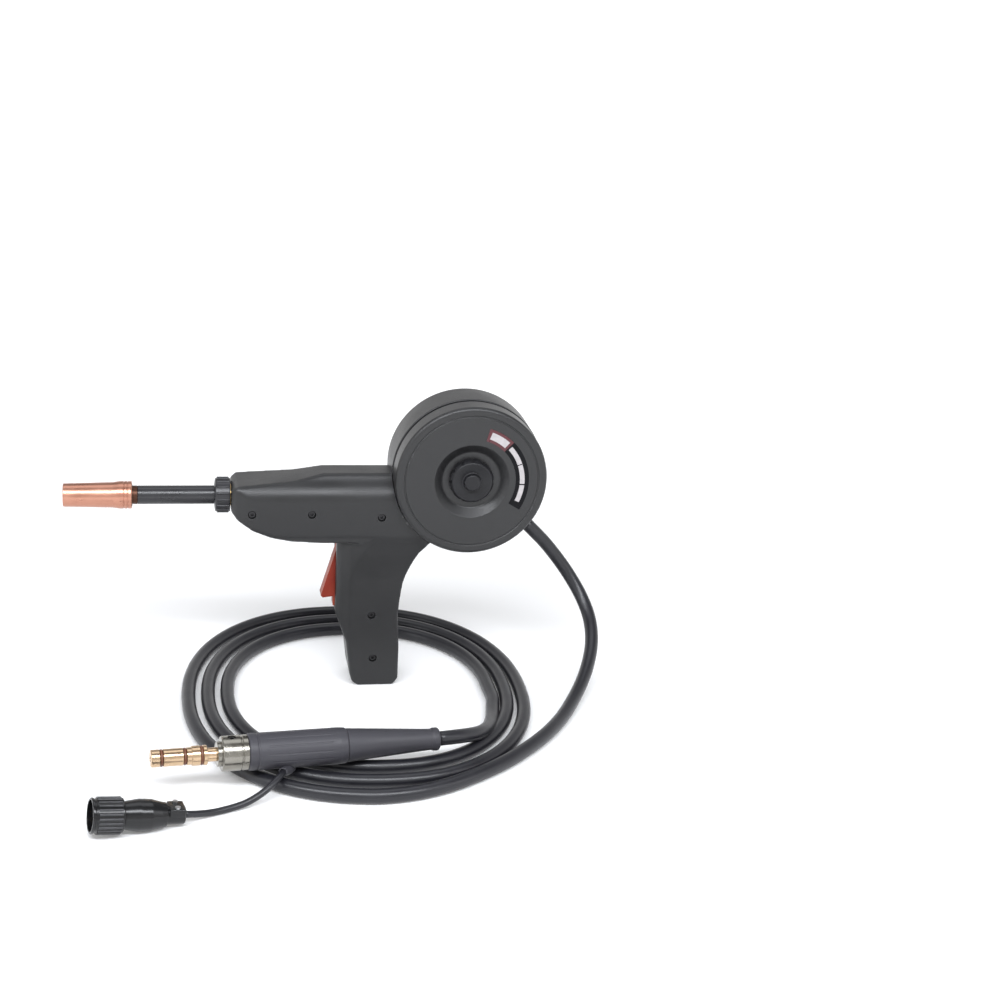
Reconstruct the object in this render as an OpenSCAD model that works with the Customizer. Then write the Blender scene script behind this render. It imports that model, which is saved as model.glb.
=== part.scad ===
// Pistol-grip wire feeder (spool gun) with its coaxial power cable, gun plug and control plug.
// Frame: origin under the grip's foot, +X away from the nozzle, -Y the spool cover's side, +Z up.

/* [Body] */
// Height of the wire line above the foot
wire_z = 159; // [158:0.5:160]
// Half the width of the moulded body
body_half = 25; // [25:0.5:27]
// Half the thickness of the pistol grip
grip_half = 19; // [19:0.5:21]
// Wall of the mouldings
wall = 2.5; // [2:0.1:2.5]

/* [Spool case] */
// Distance of the spool axis behind the grip's foot
spool_x = 70; // [69:0.5:72]
// Height of the spool axis
spool_z = 180.5; // [180:0.5:181]
// Outer radius of the spool case
case_r = 61; // [61:0.5:62]
// Radius of the spindle sleeve that takes a spool's bore
sleeve_r = 7.95; // [7.5:0.05:8]
// Radius of the spindle stud
stud_r = 3; // [3:0.1:3.4]

/* [Gun tube] */
// Outer radius of the insulated tube
jacket_r = 7.3; // [7.2:0.1:7.5]
// Distance of the nozzle's mouth in front of the foot
nozzle_x = 245.7; // [244:0.5:248]
// Radius of the nozzle at its mouth
nozzle_r = 9.1; // [9:0.1:9.5]
// Bore radius of the contact tip
tip_bore_r = 0.55; // [0.4:0.05:0.7]

/* [Feed drive] */
// Radius of the gear motor
motor_r = 13; // [12:0.5:13]
// Distance of the motor axis behind the foot
motor_x = 2; // [1.5:0.5:2]
// Gear module
gear_module = 0.8; // [0.8:0.01:0.82]
// Teeth on the pinion
pinion_teeth = 12; // [12:1:12]
// Teeth on the drive gear
gear_teeth = 24; // [24:1:24]
// Radius of the drive roll
roll_r = 9; // [8.5:0.1:9]
// Radius of the idler roll
idler_r = 8; // [7.5:0.1:8]

/* [Trigger] */
// Width of the trigger
trigger_w = 12; // [10:0.5:12]
// Radius of the trigger's pivot pin
trigger_pin_r = 2; // [1.8:0.1:2]

/* [Cable] */
// Diameter of the power cable
cable_d = 11; // [10:0.5:11]
// Diameter of the control lead
lead_d = 5; // [4.5:0.1:5]

/* [Gun plug] */
// Radius of the brass plug
plug_r = 6.35; // [6:0.05:6.5]
// Radius of the plug's handle
handle_r = 13.5; // [13:0.1:13.5]

/* [Control plug] */
// Radius of the coupling ring
ring_r = 13; // [12.5:0.1:13]

/* [Hidden] */
$fn = 72;
run = 0.05;          // running clearance of a shaft in its bore
black = "#26272a";
dark = "#1b1c1e";
brass = "#c9a35a";
copper = "#c98a68";
steel = "silver";

// Side outline of the body's barrel part, from the nose round to the spool case
body_outline = [[-117, 150], [-117, 168.5], [-112, 171.5], [-68, 175], [-45, 180], [30, 180],
    [48, 126], [28, 124.8], [-33, 125], [-47, 125.2], [-70, 127], [-86, 130.7], [-100, 136.2],
    [-112, 144.3]];
// Side outline of the pistol grip, with its neck running up under the spool case
grip_outline = [[-33, 130], [-33, 62], [-24, 38], [-20.7, 11], [-18.4, 3], [-14, 0], [15, 0],
    [19.5, 5], [19.3, 32], [17.5, 62], [18.9, 77], [20.5, 89], [23, 97], [28, 108], [33, 117],
    [40, 123.5], [48, 127]];
// Half section of the body across the barrel: width at each height
section_outline = [[-16, 121], [16, 121], [22, 125], [25, 131], [25, 165], [23, 170.5], [16, 176],
    [12, 180], [-12, 180], [-16, 176], [-23, 170.5], [-25, 165], [-25, 131], [-22, 125]];
// Body screws and grip screws: place of each along the side, [x, z]
body_screws_at = [[-101, 150.4], [-54.4, 150.4], [0.8, 147.7]];
grip_screws_at = [[-4.1, 61.8], [-1.9, 23.9]];
screw_r = 1.8;
screw_head_r = 3.3;
boss_r = 3.7;
screw_len = 34;

// Trigger
pivot = [-26, 117];
trigger_outline = [[-31, 120.5], [-44.3, 74.2], [-42.6, 72.5], [-34.4, 73.6], [-34.4, 65.5],
    [-29.6, 65.5], [-28, 98], [-22.3, 102], [-22.3, 108], [-22.8, 111], [-22.8, 120.5]];
pin_half = 14.5;
plunger_z = 105;
plunger_tip_x = -22;
switch_x = -19.5;
switch_z = [95, 115];
switch_len = 8;

// Feed head heights
pinion_z = 134;
gear_h = 6;
plate_z = 141;
plate_t = 2.5;
bush_top = 152;
block_z = [152, 166];
block_x = [-50, -22];
arm_z = [164, 167];
roll_h = 8;
shaft_r = 3;
gear_gap = gear_module * (pinion_teeth + gear_teeth) / 2;
drive_y = -(roll_r + 0.5);
drive_x = motor_x - sqrt(gear_gap * gear_gap - drive_y * drive_y);
mesh_angle = atan2(drive_y, drive_x - motor_x);
idler_x = drive_x;
idler_y = idler_r + 0.5;
arm_pivot = [-27, 15];
arm_pin_r = 2.5;
idler_pin_r = 2;
motor_base_z = 68;
motor_top_z = 112;
gearhead_top_z = 132;

// Spool case depths along Y
case_back = 25;
case_front = -11;
spigot_front = -17.5;
spigot_r = case_r - 2.5;
case_in_r = spigot_r - 2.3;
cover_r = case_r - 0.5;
cover_rim_y = -14.5;
cover_face_y = -33.5;
recess_r = 30;
recess_floor_r = 23;
recess_y = -27.5;
knob_r = 17.5;

// Cable duct on the case's far side and the gland at its end
duct_y0 = case_back;
duct_y1 = 50;
duct_r = 11;
duct_a = [8, 138];
duct_b = [94.6, 155.4];
gland_y = 38;
gland_len = 8;
gland_nut_len = 14;
boot_start = 25;
boot_end_at = 50;

// Gun plug: boot end, heading and rise of its axis; distances along it from the boot's end
boot_end = [32, -163, 22.4];
plug_yaw = 188.6;
plug_tilt = 1.8;
taper_len = 71;
handle_end = 144;
block_end = 163;
neck_end = 173;
ring_end = 184;
plug_end = 213;

// Control plug: tail point, heading and rise of its axis
cplug_tail = [-155, -237, 7.4];
cplug_yaw = 191.5;
cplug_tilt = 7.5;
clamp_len = 13;
cbody_end = 43;
cplug_end = 65;

// Route of the power cable from the gland's boot down to the coil
lead_in_route = [[130, 38, 120], [137, 38.5, 113], [148, 40, 101.5], [160, 40, 87], [171, 36, 72],
    [180, 27, 57], [185, 13, 43], [184, -5, 31], [178, -25, 21.5], [168, -48, 13.5],
    [155, -73, 8], [140, -100, 5.6], [123, -126, 5.5], [104, -149, 5.5], [83, -170, 5.5],
    [60, -188, 5.5], [36, -203, 5.5], [11, -213, 5.5]];
// Route from the coil's inner turn up to the gun plug's boot
tail_route = [[91, -62, 5.5], [88, -80, 5.6], [84, -100, 6.5], [77, -122, 10], [66, -142, 15.5],
    [50, -156, 20.5], [38, -161.5, 22.2], [32, -163, 22.4]];
// Route of the control lead from the handle to the control plug
control_route = [[-81, -187, 14], [-84, -193, 14.8], [-88, -201, 14.6], [-94, -208, 11.8],
    [-102, -213.5, 7.8], [-112, -218, 4.2], [-124, -222.5, 2.6], [-136, -227.5, 2.8],
    [-146, -232.5, 4.8], [-155, -237, 7.4]];
// Outer and inner outline of the coil: centre and half axes
coil_out_c = [-16.75, -47.5];
coil_out = [138.75, 175];
coil_in_c = [-14, -44];
coil_in = [99.5, 123];
coil_power = 2.2;

// ---- shared geometry ----

function unit(v) = v / norm(v);

// One point of a squared ellipse of the coil's kind
function squared(c, half, a) = [
    c[0] + half[0] * sign(cos(a)) * pow(abs(cos(a)), 2 / coil_power),
    c[1] + half[1] * sign(sin(a)) * pow(abs(sin(a)), 2 / coil_power)];

// Tube of radius r swept along a route of points, its rings turned so as to stay level with ref
module swept_tube(route, r, sides = 10, ref = [0, 0, 1]) {
    n = len(route);
    dirs = [for (i = [0:n - 1]) unit(route[min(i + 1, n - 1)] - route[max(i - 1, 0)])];
    points = [for (i = [0:n - 1])
        let (side = unit(cross(dirs[i], ref)), top = cross(side, dirs[i]))
        for (k = [0:sides - 1]) route[i] + r * (cos(360 * k / sides) * side
            + sin(360 * k / sides) * top)];
    skin = [for (i = [0:n - 2], k = [0:sides - 1])
        let (a = i * sides + k, b = i * sides + (k + 1) % sides)
        [a, b, b + sides, a + sides]];
    ends = [[for (k = [sides - 1:-1:0]) k], [for (k = [0:sides - 1]) (n - 1) * sides + k]];
    polyhedron(points, concat(skin, ends), convexity = 6);
}

// Cylinder along +X from x0 to x1
module along_x(x0, x1, r) {
    translate([x0, 0, 0]) rotate([0, 90, 0]) cylinder(h = x1 - x0, r = r);
}

// Cylinder along Y from y0 to y1 at a place on the side, [x, z]
module along_y(at, y0, y1, r, sides = 72) {
    translate([at[0], y1, at[1]]) rotate([90, 0, 0]) cylinder(h = y1 - y0, r = r, $fn = sides);
}

// Turned shape about the spool axis: profile points are [radius, distance towards -Y]
module turned_on_spool(profile) {
    translate([spool_x, 0, spool_z]) rotate([90, 0, 0]) rotate_extrude() polygon(profile);
}

// Frames of the wire line, gland, gun plug and control plug, each with its axis along +X
module on_wire_line() { translate([0, 0, wire_z]) children(); }
module on_gland() { translate([duct_b[0], gland_y, duct_b[1]]) rotate([0, 45, 0]) children(); }
module on_gun_plug() { translate(boot_end) rotate([0, -plug_tilt, plug_yaw]) children(); }
module on_control_plug() { translate(cplug_tail) rotate([0, -cplug_tilt, cplug_yaw]) children(); }

// Turned shape along +X: profile points are [distance, radius]
module turned_x(profile) {
    rotate([0, 90, 0]) rotate_extrude() polygon([for (p = profile) [p[1], p[0]]]);
}

// ---- housing ----

// Barrel part of the body, drawn in by the inset all round
module barrel_form(inset) {
    intersection() {
        rotate([90, 0, 0]) linear_extrude(2 * body_half + 2, center = true)
            offset(delta = -inset) polygon(body_outline);
        translate([-130, 0, 0]) rotate([90, 0, 90]) linear_extrude(190)
            offset(delta = -inset) scale([body_half / 25, 1]) polygon(section_outline);
        linear_extrude(200) offset(delta = -inset)
            polygon([[-117, -17], [-113, -21.5], [-106, -24], [-96, -body_half], [60, -body_half],
                [60, body_half], [-96, body_half], [-106, 24], [-113, 21.5], [-117, 17]]);
    }
}

// Pistol grip, drawn in by the inset all round
module grip_form(inset) {
    intersection() {
        rotate([90, 0, 0]) linear_extrude(2 * grip_half + 2, center = true)
            offset(delta = -inset) polygon(grip_outline);
        linear_extrude(135) offset(delta = -inset)
            polygon([[-36, -8], [-30, -15], [-22, -grip_half], [46, -grip_half], [52, -12],
                [52, 12], [46, grip_half], [-22, grip_half], [-30, 15], [-36, 8]]);
    }
}

// Ribs inside the shell that carry the motor and the feed plate
module ribs() {
    intersection() {
        grip_form(wall - 0.5);
        for (z = [80, 104]) translate([-11, -20, z]) difference() {
            cube([30, 40, 2]);
            translate([motor_x + 11, 20, -1]) cylinder(h = 4, r = motor_r);
        }
    }
    for (side = [-1, 1]) translate([-44, side * (body_half - 3.2) - 1.5, plate_z - 2])
        cube([34, 3, 2]);
}

// Screw bosses through the shell, on both grip and body
module bosses() {
    for (at = body_screws_at) along_y(at, -body_half + 1, body_half - 1, boss_r);
    for (at = grip_screws_at) along_y(at, -grip_half + 1, grip_half - 1, boss_r);
    along_y(pivot, trigger_w / 2 + 0.3, pin_half + 1.2, 3.6);
    along_y(pivot, -pin_half - 1.2, -trigger_w / 2 - 0.3, 3.6);
    for (s = case_screw_places) case_screw_at(s) intersection() {
        translate([0, s[1] > 0 ? -4 : -20, -4]) cube([6, 24, 8]);
        translate([0, -s[1] - body_half + 1, -4]) cube([6, 2 * body_half - 2, 8]);
    }
}

// The whole moulding before it is parted
module housing() {
    difference() {
        union() {
            difference() {
                union() { barrel_form(0); grip_form(0); }
                barrel_form(wall);
                grip_form(wall);
                translate([-28, -grip_half + wall, 100])
                    cube([44, 2 * (grip_half - wall), 32]);
            }
            ribs();
            bosses();
        }
        along_y([spool_x, spool_z], -60, 60, case_r + 0.1, 96);
        translate([-40, -trigger_w / 2 - 0.4, 64.5]) cube([13, trigger_w + 0.8, 58]);
        along_y(pivot, -pin_half, pin_half, trigger_pin_r);
        for (at = body_screws_at) {
            along_y(at, -body_half - 1, -body_half + 2 + screw_len, screw_r);
            along_y(at, -body_half - 1, -body_half + 4, screw_head_r);
        }
        for (at = grip_screws_at) {
            along_y(at, -grip_half - 1, grip_half - 2, screw_r);
            along_y(at, -grip_half - 1, -grip_half + 4, screw_head_r);
        }
        for (s = case_screw_places) case_screw_at(s) along_x(-1, 6, screw_r);
        on_wire_line() along_x(-119, -103, 8.5);
        on_wire_line() along_x(-114, -110, 11);
        along_y([duct_a[0] - 3.5, duct_a[1]], 15, body_half + 1, 7);
    }
}

module housing_left() {
    color(black) intersection() {
        housing();
        translate([-150, 0, -5]) cube([230, 60, 210]);
    }
}

module housing_right() {
    color(black) intersection() {
        housing();
        translate([-150, -60, -5]) cube([230, 60, 210]);
    }
}

// A pan-head screw along +Y, its head's outer face at y0 and its tip at y1
module screw(at, y0, y1, shank_r, head_r, head_h) {
    difference() {
        along_y(at, y0, y0 + head_h, head_r);
        along_y(at, y0 - 1, y0 + head_h * 0.6, head_r * 0.45, 6);
    }
    along_y(at, y0 + head_h, y1, shank_r);
}

module housing_screws() {
    color(steel) {
        for (at = body_screws_at)
            screw(at, -body_half + 1.5, -body_half + 1.5 + screw_len, screw_r, screw_head_r, 2.5);
        for (at = grip_screws_at)
            screw(at, -grip_half + 1.5, -grip_half + 1.5 + screw_len, screw_r, screw_head_r, 2.5);
    }
}

// ---- spool case and cover ----

module spool_case() {
    color(black) difference() {
        turned_on_spool([[0, -case_back], [case_r - 5, -case_back], [case_r - 1.5, -case_back + 1.5],
            [case_r, -case_back + 5], [case_r, -case_front], [spigot_r, -case_front],
            [spigot_r, -spigot_front], [case_in_r, -spigot_front], [case_in_r, -case_back + 6.5],
            [case_in_r - 4, -case_back + wall], [0, -case_back + wall]]);
        along_y([spool_x, spool_z], case_back - wall - 1, case_back + 1, stud_r);
        on_wire_line() along_x(5, 40, 3);
        for (s = case_screw_places) case_screw_at(s) {
            along_x(-12, 3, screw_r);
            along_x(-12, -case_r + case_in_r, screw_head_r);
        }
    }
}

// Case screws: [angle round the spool axis, y]; local +X points out through the wall
case_screw_places = [[191, 13], [216, 13], [203, -9]];
module case_screw_at(s) {
    translate([spool_x, s[1], spool_z]) rotate([0, -s[0], 0]) translate([case_r, 0, 0]) children();
}
module case_screws() {
    color(steel) for (s = case_screw_places) case_screw_at(s) {
        along_x(-case_r + case_in_r, 5.5, screw_r);
        along_x(-case_r + case_in_r - 2, -case_r + case_in_r, screw_head_r);
    }
}

// Rounded bar between the duct's two end axes
module duct_form(r, y0, y1) {
    translate([0, y1, 0]) rotate([90, 0, 0]) linear_extrude(y1 - y0) hull()
        for (at = [duct_a, duct_b]) translate(at) circle(r = r, $fn = 48);
}

module cable_duct() {
    color(black) difference() {
        union() {
            duct_form(duct_r, duct_y0, duct_y1);
            on_gland() along_x(0, duct_r + gland_len, duct_r - 1);
        }
        duct_form(duct_r - wall, duct_y0 - 1, duct_y1 - wall);
        on_gland() along_x(0, duct_r + gland_len + 1, cable_d / 2);
    }
}

module spool_cover() {
    color(black) turned_on_spool([[stud_r + 0.4, -recess_y], [recess_floor_r, -recess_y],
        [recess_r, -cover_face_y], [cover_r - 5, -cover_face_y], [cover_r - 1.5, -cover_face_y - 1.5],
        [cover_r, -cover_face_y - 5], [cover_r, -cover_rim_y], [spigot_r + 0.3, -cover_rim_y],
        [spigot_r + 0.3, -spigot_front + 0.5], [cover_r - wall, -spigot_front + 0.5],
        [cover_r - wall, -cover_face_y - 5.5], [cover_r - 5.5, -cover_face_y - wall],
        [recess_r + 1.5, -cover_face_y - wall], [recess_floor_r + 1.5, -recess_y - wall],
        [stud_r + 0.4, -recess_y - wall]]);
}

module cover_knob() {
    color(dark) difference() {
        turned_on_spool([[0, -recess_y + 0.2], [knob_r, -recess_y + 0.2], [knob_r, -recess_y + 5],
            [knob_r - 2, -recess_y + 8], [knob_r - 7, -recess_y + 6.5], [7, -recess_y + 6],
            [6.5, -recess_y + 10], [0, -recess_y + 10.5]]);
        for (k = [0:11]) translate([spool_x, 0, spool_z]) rotate([0, 30 * k, 0])
            translate([knob_r + 1, 0, 0]) along_y([0, 0], recess_y - 12, recess_y + 1, 2.2, 24);
        along_y([spool_x, spool_z], recess_y - 8, recess_y + 1, 4.5);
    }
}

module knob_insert() {
    color(brass) difference() {
        along_y([spool_x, spool_z], recess_y - 8, recess_y - 0.2, 4.5);
        along_y([spool_x, spool_z], recess_y - 7, recess_y + 1, stud_r + 0.15);
    }
}

module spindle_stud() {
    color(steel) {
        along_y([spool_x, spool_z], recess_y - 6, case_back, stud_r);
        along_y([spool_x, spool_z], case_back, case_back + 4, 5.8, 6);
    }
}

module spool_hub() {
    color(dark) difference() {
        union() {
            along_y([spool_x, spool_z], -12, 18.5, sleeve_r);
            along_y([spool_x, spool_z], 18.5, 21, 16);
        }
        along_y([spool_x, spool_z], -13, 22, stud_r + run);
    }
}

// A plain ring about the spool axis
module spool_ring(y0, y1, outer, sides = 72) {
    difference() {
        along_y([spool_x, spool_z], y0, y1, outer, sides);
        along_y([spool_x, spool_z], y0 - 1, y1 + 1, stud_r);
    }
}

module brake_washer() { color("dimgray") spool_ring(21.1, case_back - wall, 14); }
module brake_spring() { color(steel) spool_ring(-17.5, -12.1, 5.2); }
module spring_washer() { color(steel) spool_ring(-18.7, -17.5, 6.5); }
module spindle_nut() { color(steel) spool_ring(-23.7, -18.7, 5.8, 6); }

// ---- trigger ----

module trigger() {
    color("#a8442a") difference() {
        rotate([90, 0, 0]) linear_extrude(trigger_w, center = true) polygon(trigger_outline);
        along_y(pivot, -trigger_w, trigger_w, trigger_pin_r + run);
        along_y(pivot, -2.3, 2.3, 3.1);
    }
}

module trigger_pin() { color(steel) along_y(pivot, -pin_half, pin_half, trigger_pin_r); }

module trigger_spring() {
    color(steel) difference() {
        along_y(pivot, -2, 2, 2.8);
        along_y(pivot, -3, 3, trigger_pin_r);
    }
}

module microswitch() {
    color("#303034") difference() {
        translate([switch_x, -3.2, switch_z[0]]) cube([switch_len, 6.4, switch_z[1] - switch_z[0]]);
        translate([0, 0, plunger_z]) along_x(switch_x - 1, switch_x + 4.5, 1.2 + run);
        for (z = [switch_z[0] + 3, switch_z[1] - 3]) along_y([switch_x + 5.5, z], -5, 5, 1.2);
    }
}

module switch_plunger() {
    color("#a8442a") translate([0, 0, plunger_z]) along_x(plunger_tip_x, switch_x + 2, 1.2);
}

// ---- motor and feed head ----

module upright(z0, z1, r) { translate([0, 0, z0]) cylinder(h = z1 - z0, r = r); }
module on_motor() { translate([motor_x, 0, 0]) children(); }
module on_drive() { translate([drive_x, drive_y, 0]) children(); }
module on_arm_pivot() { translate([arm_pivot[0], arm_pivot[1], 0]) children(); }
module on_idler() { translate([idler_x, idler_y, 0]) children(); }

module motor_end_cap() {
    color(dark) on_motor() {
        upright(motor_base_z, motor_base_z + 4, motor_r - 0.5);
        upright(motor_base_z - 1.5, motor_base_z, 4);
    }
}

module motor_can() { color("#6e7074") on_motor() upright(motor_base_z + 4, motor_top_z, motor_r); }

module gearhead() {
    color("#8a8c90") on_motor() difference() {
        upright(motor_top_z, gearhead_top_z, motor_r);
        upright(gearhead_top_z - 8, gearhead_top_z + 1, 2 + run);
    }
}

// Outline of a gear, its teeth a little thin so that a pair runs free
function gear_points(teeth) = let (pitch_r = gear_module * teeth / 2)
    [for (k = [0:teeth - 1], p = [[-0.36, -1.15], [-0.13, 0.85], [0.13, 0.85], [0.36, -1.15]])
        let (r = pitch_r + p[1] * gear_module, a = 360 / teeth * (k + p[0]))
        [r * cos(a), r * sin(a)]];

module motor_pinion() {
    color(steel) on_motor() {
        upright(gearhead_top_z - 7, pinion_z, 2);
        translate([0, 0, pinion_z]) rotate(mesh_angle) linear_extrude(gear_h)
            polygon(gear_points(pinion_teeth));
    }
}

plate_legs = [[motor_x + 7, 8], [motor_x + 7, -8], [motor_x - 3, 10.4]];
module feed_plate() {
    color("#9a9ca0") difference() {
        union() {
            translate([-48, -22, plate_z]) cube([60, 44, plate_t]);
            on_drive() upright(plate_z + 0.5, bush_top, 6);
            on_arm_pivot() upright(plate_z + 0.5, 146, 5);
            for (p = plate_legs) translate([p[0], p[1], 0]) upright(gearhead_top_z, plate_z + 1, 2);
            translate([6, -5, plate_z + 0.5]) cube([5, 10, 22.5]);
        }
        on_drive() upright(plate_z - 1, bush_top + 1, 4.5);
        on_arm_pivot() upright(plate_z - 1, 147, arm_pin_r);
        on_wire_line() along_x(5, 12, 3);
        translate([-42, 13, 0]) upright(plate_z - 1, plate_z + plate_t + 1, 4);
    }
}

module shaft_bushes() {
    color(brass) on_drive() for (z = [plate_z, bush_top - 4]) difference() {
        upright(z, z + 4, 4.5);
        upright(z - 1, z + 5, shaft_r + run);
    }
}

module drive_shaft() {
    color(steel) on_drive() {
        upright(pinion_z - 1, 163.5, shaft_r);
        upright(pinion_z + gear_h, plate_z - 0.2, shaft_r + 1.5);
    }
}

module drive_gear() {
    color(brass) on_drive() difference() {
        translate([0, 0, pinion_z]) rotate(mesh_angle + 180 + 180 / gear_teeth)
            linear_extrude(gear_h) polygon(gear_points(gear_teeth));
        upright(pinion_z - 1, pinion_z + gear_h + 1, shaft_r);
    }
}

// A grooved roll about an upright axis, centred on the wire line
module grooved_roll(r, h, bore, groove) {
    translate([0, 0, wire_z]) rotate_extrude() polygon([[bore, -h / 2], [r - 0.5, -h / 2],
        [r, -h / 2 + 0.5], [r, -groove], [r - groove, 0], [r, groove], [r, h / 2 - 0.5],
        [r - 0.5, h / 2], [bore, h / 2]]);
}

module drive_roll() { color(steel) on_drive() grooved_roll(roll_r, roll_h, shaft_r, 0.45); }

module roll_screw() {
    color("dimgray") on_drive() difference() {
        union() { upright(163.5, 166, 4.5); upright(166, 167, 3.5); }
        translate([0, 0, 165]) cylinder(h = 3, r = 2, $fn = 6);
    }
}

module pressure_arm() {
    color("#9a9ca0") difference() {
        union() {
            on_arm_pivot() upright(155.5, arm_z[1], 5);
            hull() {
                on_arm_pivot() upright(arm_z[0], arm_z[1], 5);
                on_idler() upright(arm_z[0], arm_z[1], 5);
            }
        }
        on_arm_pivot() upright(154, arm_z[1] + 1, arm_pin_r + run);
        on_idler() upright(arm_z[0] - 1, arm_z[1] + 1, idler_pin_r);
    }
}

module arm_pin() {
    color(steel) on_arm_pivot() {
        upright(plate_z, 168.2, arm_pin_r);
        upright(168.2, 169.5, 4);
    }
}

module pressure_spring() {
    color(steel) on_arm_pivot() difference() {
        upright(146, 155.2, 4.2);
        upright(145, 156, arm_pin_r);
    }
}

module idler_pin() {
    color(steel) on_idler() {
        upright(155, arm_z[1], idler_pin_r);
        upright(153.8, 155, 3.2);
    }
}

module idler_roll() {
    color(steel) on_idler() difference() {
        upright(155.3, 162.7, idler_r);
        upright(154, 164, idler_pin_r + run);
    }
}

// Inlet guide behind the rolls and outlet guide ahead of them, mirrored about the rolls
module wire_guides() {
    nip = 7.4;
    color(brass) on_wire_line() difference() {
        union() {
            along_x(idler_x + nip, idler_x + nip + 2, 2.4);
            along_x(idler_x + nip + 2, 17, 3);
            along_x(idler_x - nip - 2, idler_x - nip, 2.4);
            along_x(-27, idler_x - nip - 2, 3);
        }
        along_x(-28, 18, 1);
    }
}

module insulating_pad() {
    color("#b9b29a") translate([-48, -7, plate_z + plate_t])
        cube([24, 14, block_z[0] - plate_z - plate_t]);
}

module power_block() {
    color(brass) difference() {
        translate([block_x[0], -7, block_z[0]])
            cube([block_x[1] - block_x[0], 14, block_z[1] - block_z[0]]);
        on_wire_line() along_x(-51, -36, 4.5);
        on_wire_line() along_x(-37, -26, 2);
        on_wire_line() along_x(-27, -21, 3);
    }
}

// Coaxial core inside the body, from the gland to the power block
power_lead_route = [[94, 38, 155.2], [20, 38, 140.4], [11, 36, 138.6], [5, 29, 137.6],
    [0, 20, 136.4], [-8, 15.5, 134.8], [-33, 14, 134.5], [-39, 13.5, 136], [-42, 13, 141],
    [-42, 12.5, 158]];
module power_lead() {
    color("#3a2a22") swept_tube(power_lead_route, 3, 12, [0, 1, 0]);
    color(copper) translate([-46, 7, 155]) cube([8, 5, 8]);
}

// ---- gun tube ----

module tube_adaptor() {
    color(brass) on_wire_line() difference() {
        union() { along_x(-121, -104, 8.5); along_x(-114, -110, 11); }
        along_x(-122, -103, 4.5);
    }
}

module tube_nut() {
    color(dark) on_wire_line() difference() {
        union() {
            along_x(-129.8, -117.4, 13.5);
            for (k = [0:11]) rotate([30 * k, 0, 0]) translate([0, 13.2, 0]) along_x(-128, -119, 1.2);
        }
        along_x(-131, -121, jacket_r);
        along_x(-121, -117, 8.5);
    }
}

module conductor_tube() {
    color(copper) on_wire_line() difference() {
        along_x(-195, -36, 4.5);
        along_x(-196, -35, 3);
    }
}

module tube_jacket() {
    color(dark) on_wire_line() difference() {
        along_x(-189, -121, jacket_r);
        along_x(-190, -120, 4.5);
    }
}

module wire_liner() {
    color(steel) on_wire_line() difference() {
        along_x(-206, -27, 1.9);
        along_x(-207, -26, 1);
    }
}

module gas_diffuser() {
    color(brass) on_wire_line() difference() {
        union() { along_x(-212, -189, 6.2); along_x(-193, -189, 7.3); }
        along_x(-206, -188, 4.5);
        along_x(-213, -205, 3);
        for (k = [0:5]) rotate([60 * k, 0, 0]) translate([-200, 0, 0]) cylinder(h = 8, r = 1);
    }
}

module nozzle_insulator() {
    color("#5a3a2a") on_wire_line() difference() {
        along_x(-205, -193, 9);
        along_x(-206, -192, 6.2);
    }
}

module contact_tip() {
    color(copper) on_wire_line() difference() {
        union() {
            along_x(-222, -206, 3);
            along_x(-nozzle_x + 3.2, -212, 3.4);
        }
        along_x(-nozzle_x, -205, tip_bore_r);
        along_x(-208, -205, 1.9);
    }
}

module nozzle() {
    mouth = -nozzle_x;
    color(copper) on_wire_line() turned_x([[mouth, nozzle_r - 1.2], [mouth, nozzle_r - 0.3],
        [mouth + 0.5, nozzle_r], [mouth + 38, nozzle_r + 0.9], [mouth + 43, nozzle_r + 1.7],
        [-193.6, nozzle_r + 1.7], [-193.2, nozzle_r + 1.3], [-193.2, 9], [-206, 9],
        [-208, nozzle_r - 1.2]]);
}

// ---- cable, gland and plugs ----

module cable_gland() {
    color(dark) on_gland() difference() {
        union() {
            along_x(duct_r + gland_len, duct_r + gland_len + 5, 9.5);
            along_x(duct_r + gland_len + 5, duct_r + gland_nut_len, 8.5);
        }
        along_x(duct_r, duct_r + gland_nut_len + 1, cable_d / 2);
    }
}

module cable_boot() {
    color(dark) on_gland() difference() {
        turned_x([[boot_start, 0], [boot_start, 8.2], [boot_start + 2, 8.8],
            [boot_end_at - 1, 6.8], [boot_end_at, 6.2], [boot_end_at, 0]]);
        along_x(boot_start - 1, boot_end_at + 1, cable_d / 2);
    }
}

// The cable's two free stretches, and the coil between them as one ring
module power_cable() { color("#1e1f22") swept_tube(lead_in_route, cable_d / 2); }
module cable_tail() { color("#1e1f22") swept_tube(tail_route, cable_d / 2); }
module cable_coil() {
    color("#1e1f22") linear_extrude(cable_d) difference() {
        polygon([for (k = [0:59]) squared(coil_out_c, coil_out, 6 * k)]);
        polygon([for (k = [0:59]) squared(coil_in_c, coil_in, 6 * k)]);
    }
}

module connector_boot() {
    color(dark) on_gun_plug() turned_x([[0, 0], [0, 7.4], [1, 8.6], [4, 8.6], [5, 7.8],
        [taper_len, 11.5], [taper_len, 0]]);
}

module connector_handle() {
    color(black) on_gun_plug() turned_x([[taper_len, 0], [taper_len, 12.4], [taper_len + 2, handle_r],
        [handle_end - 1, handle_r], [handle_end, handle_r - 1], [handle_end, 0]]);
}

module plug_block() {
    color("#b8b4a6") on_gun_plug() difference() {
        union() {
            along_x(handle_end, block_end, 12.8);
            along_x(block_end, block_end + 3, 9);
        }
        translate([(handle_end + block_end) / 2, 0, 6]) cylinder(h = 10, r = 3);
    }
}

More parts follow.
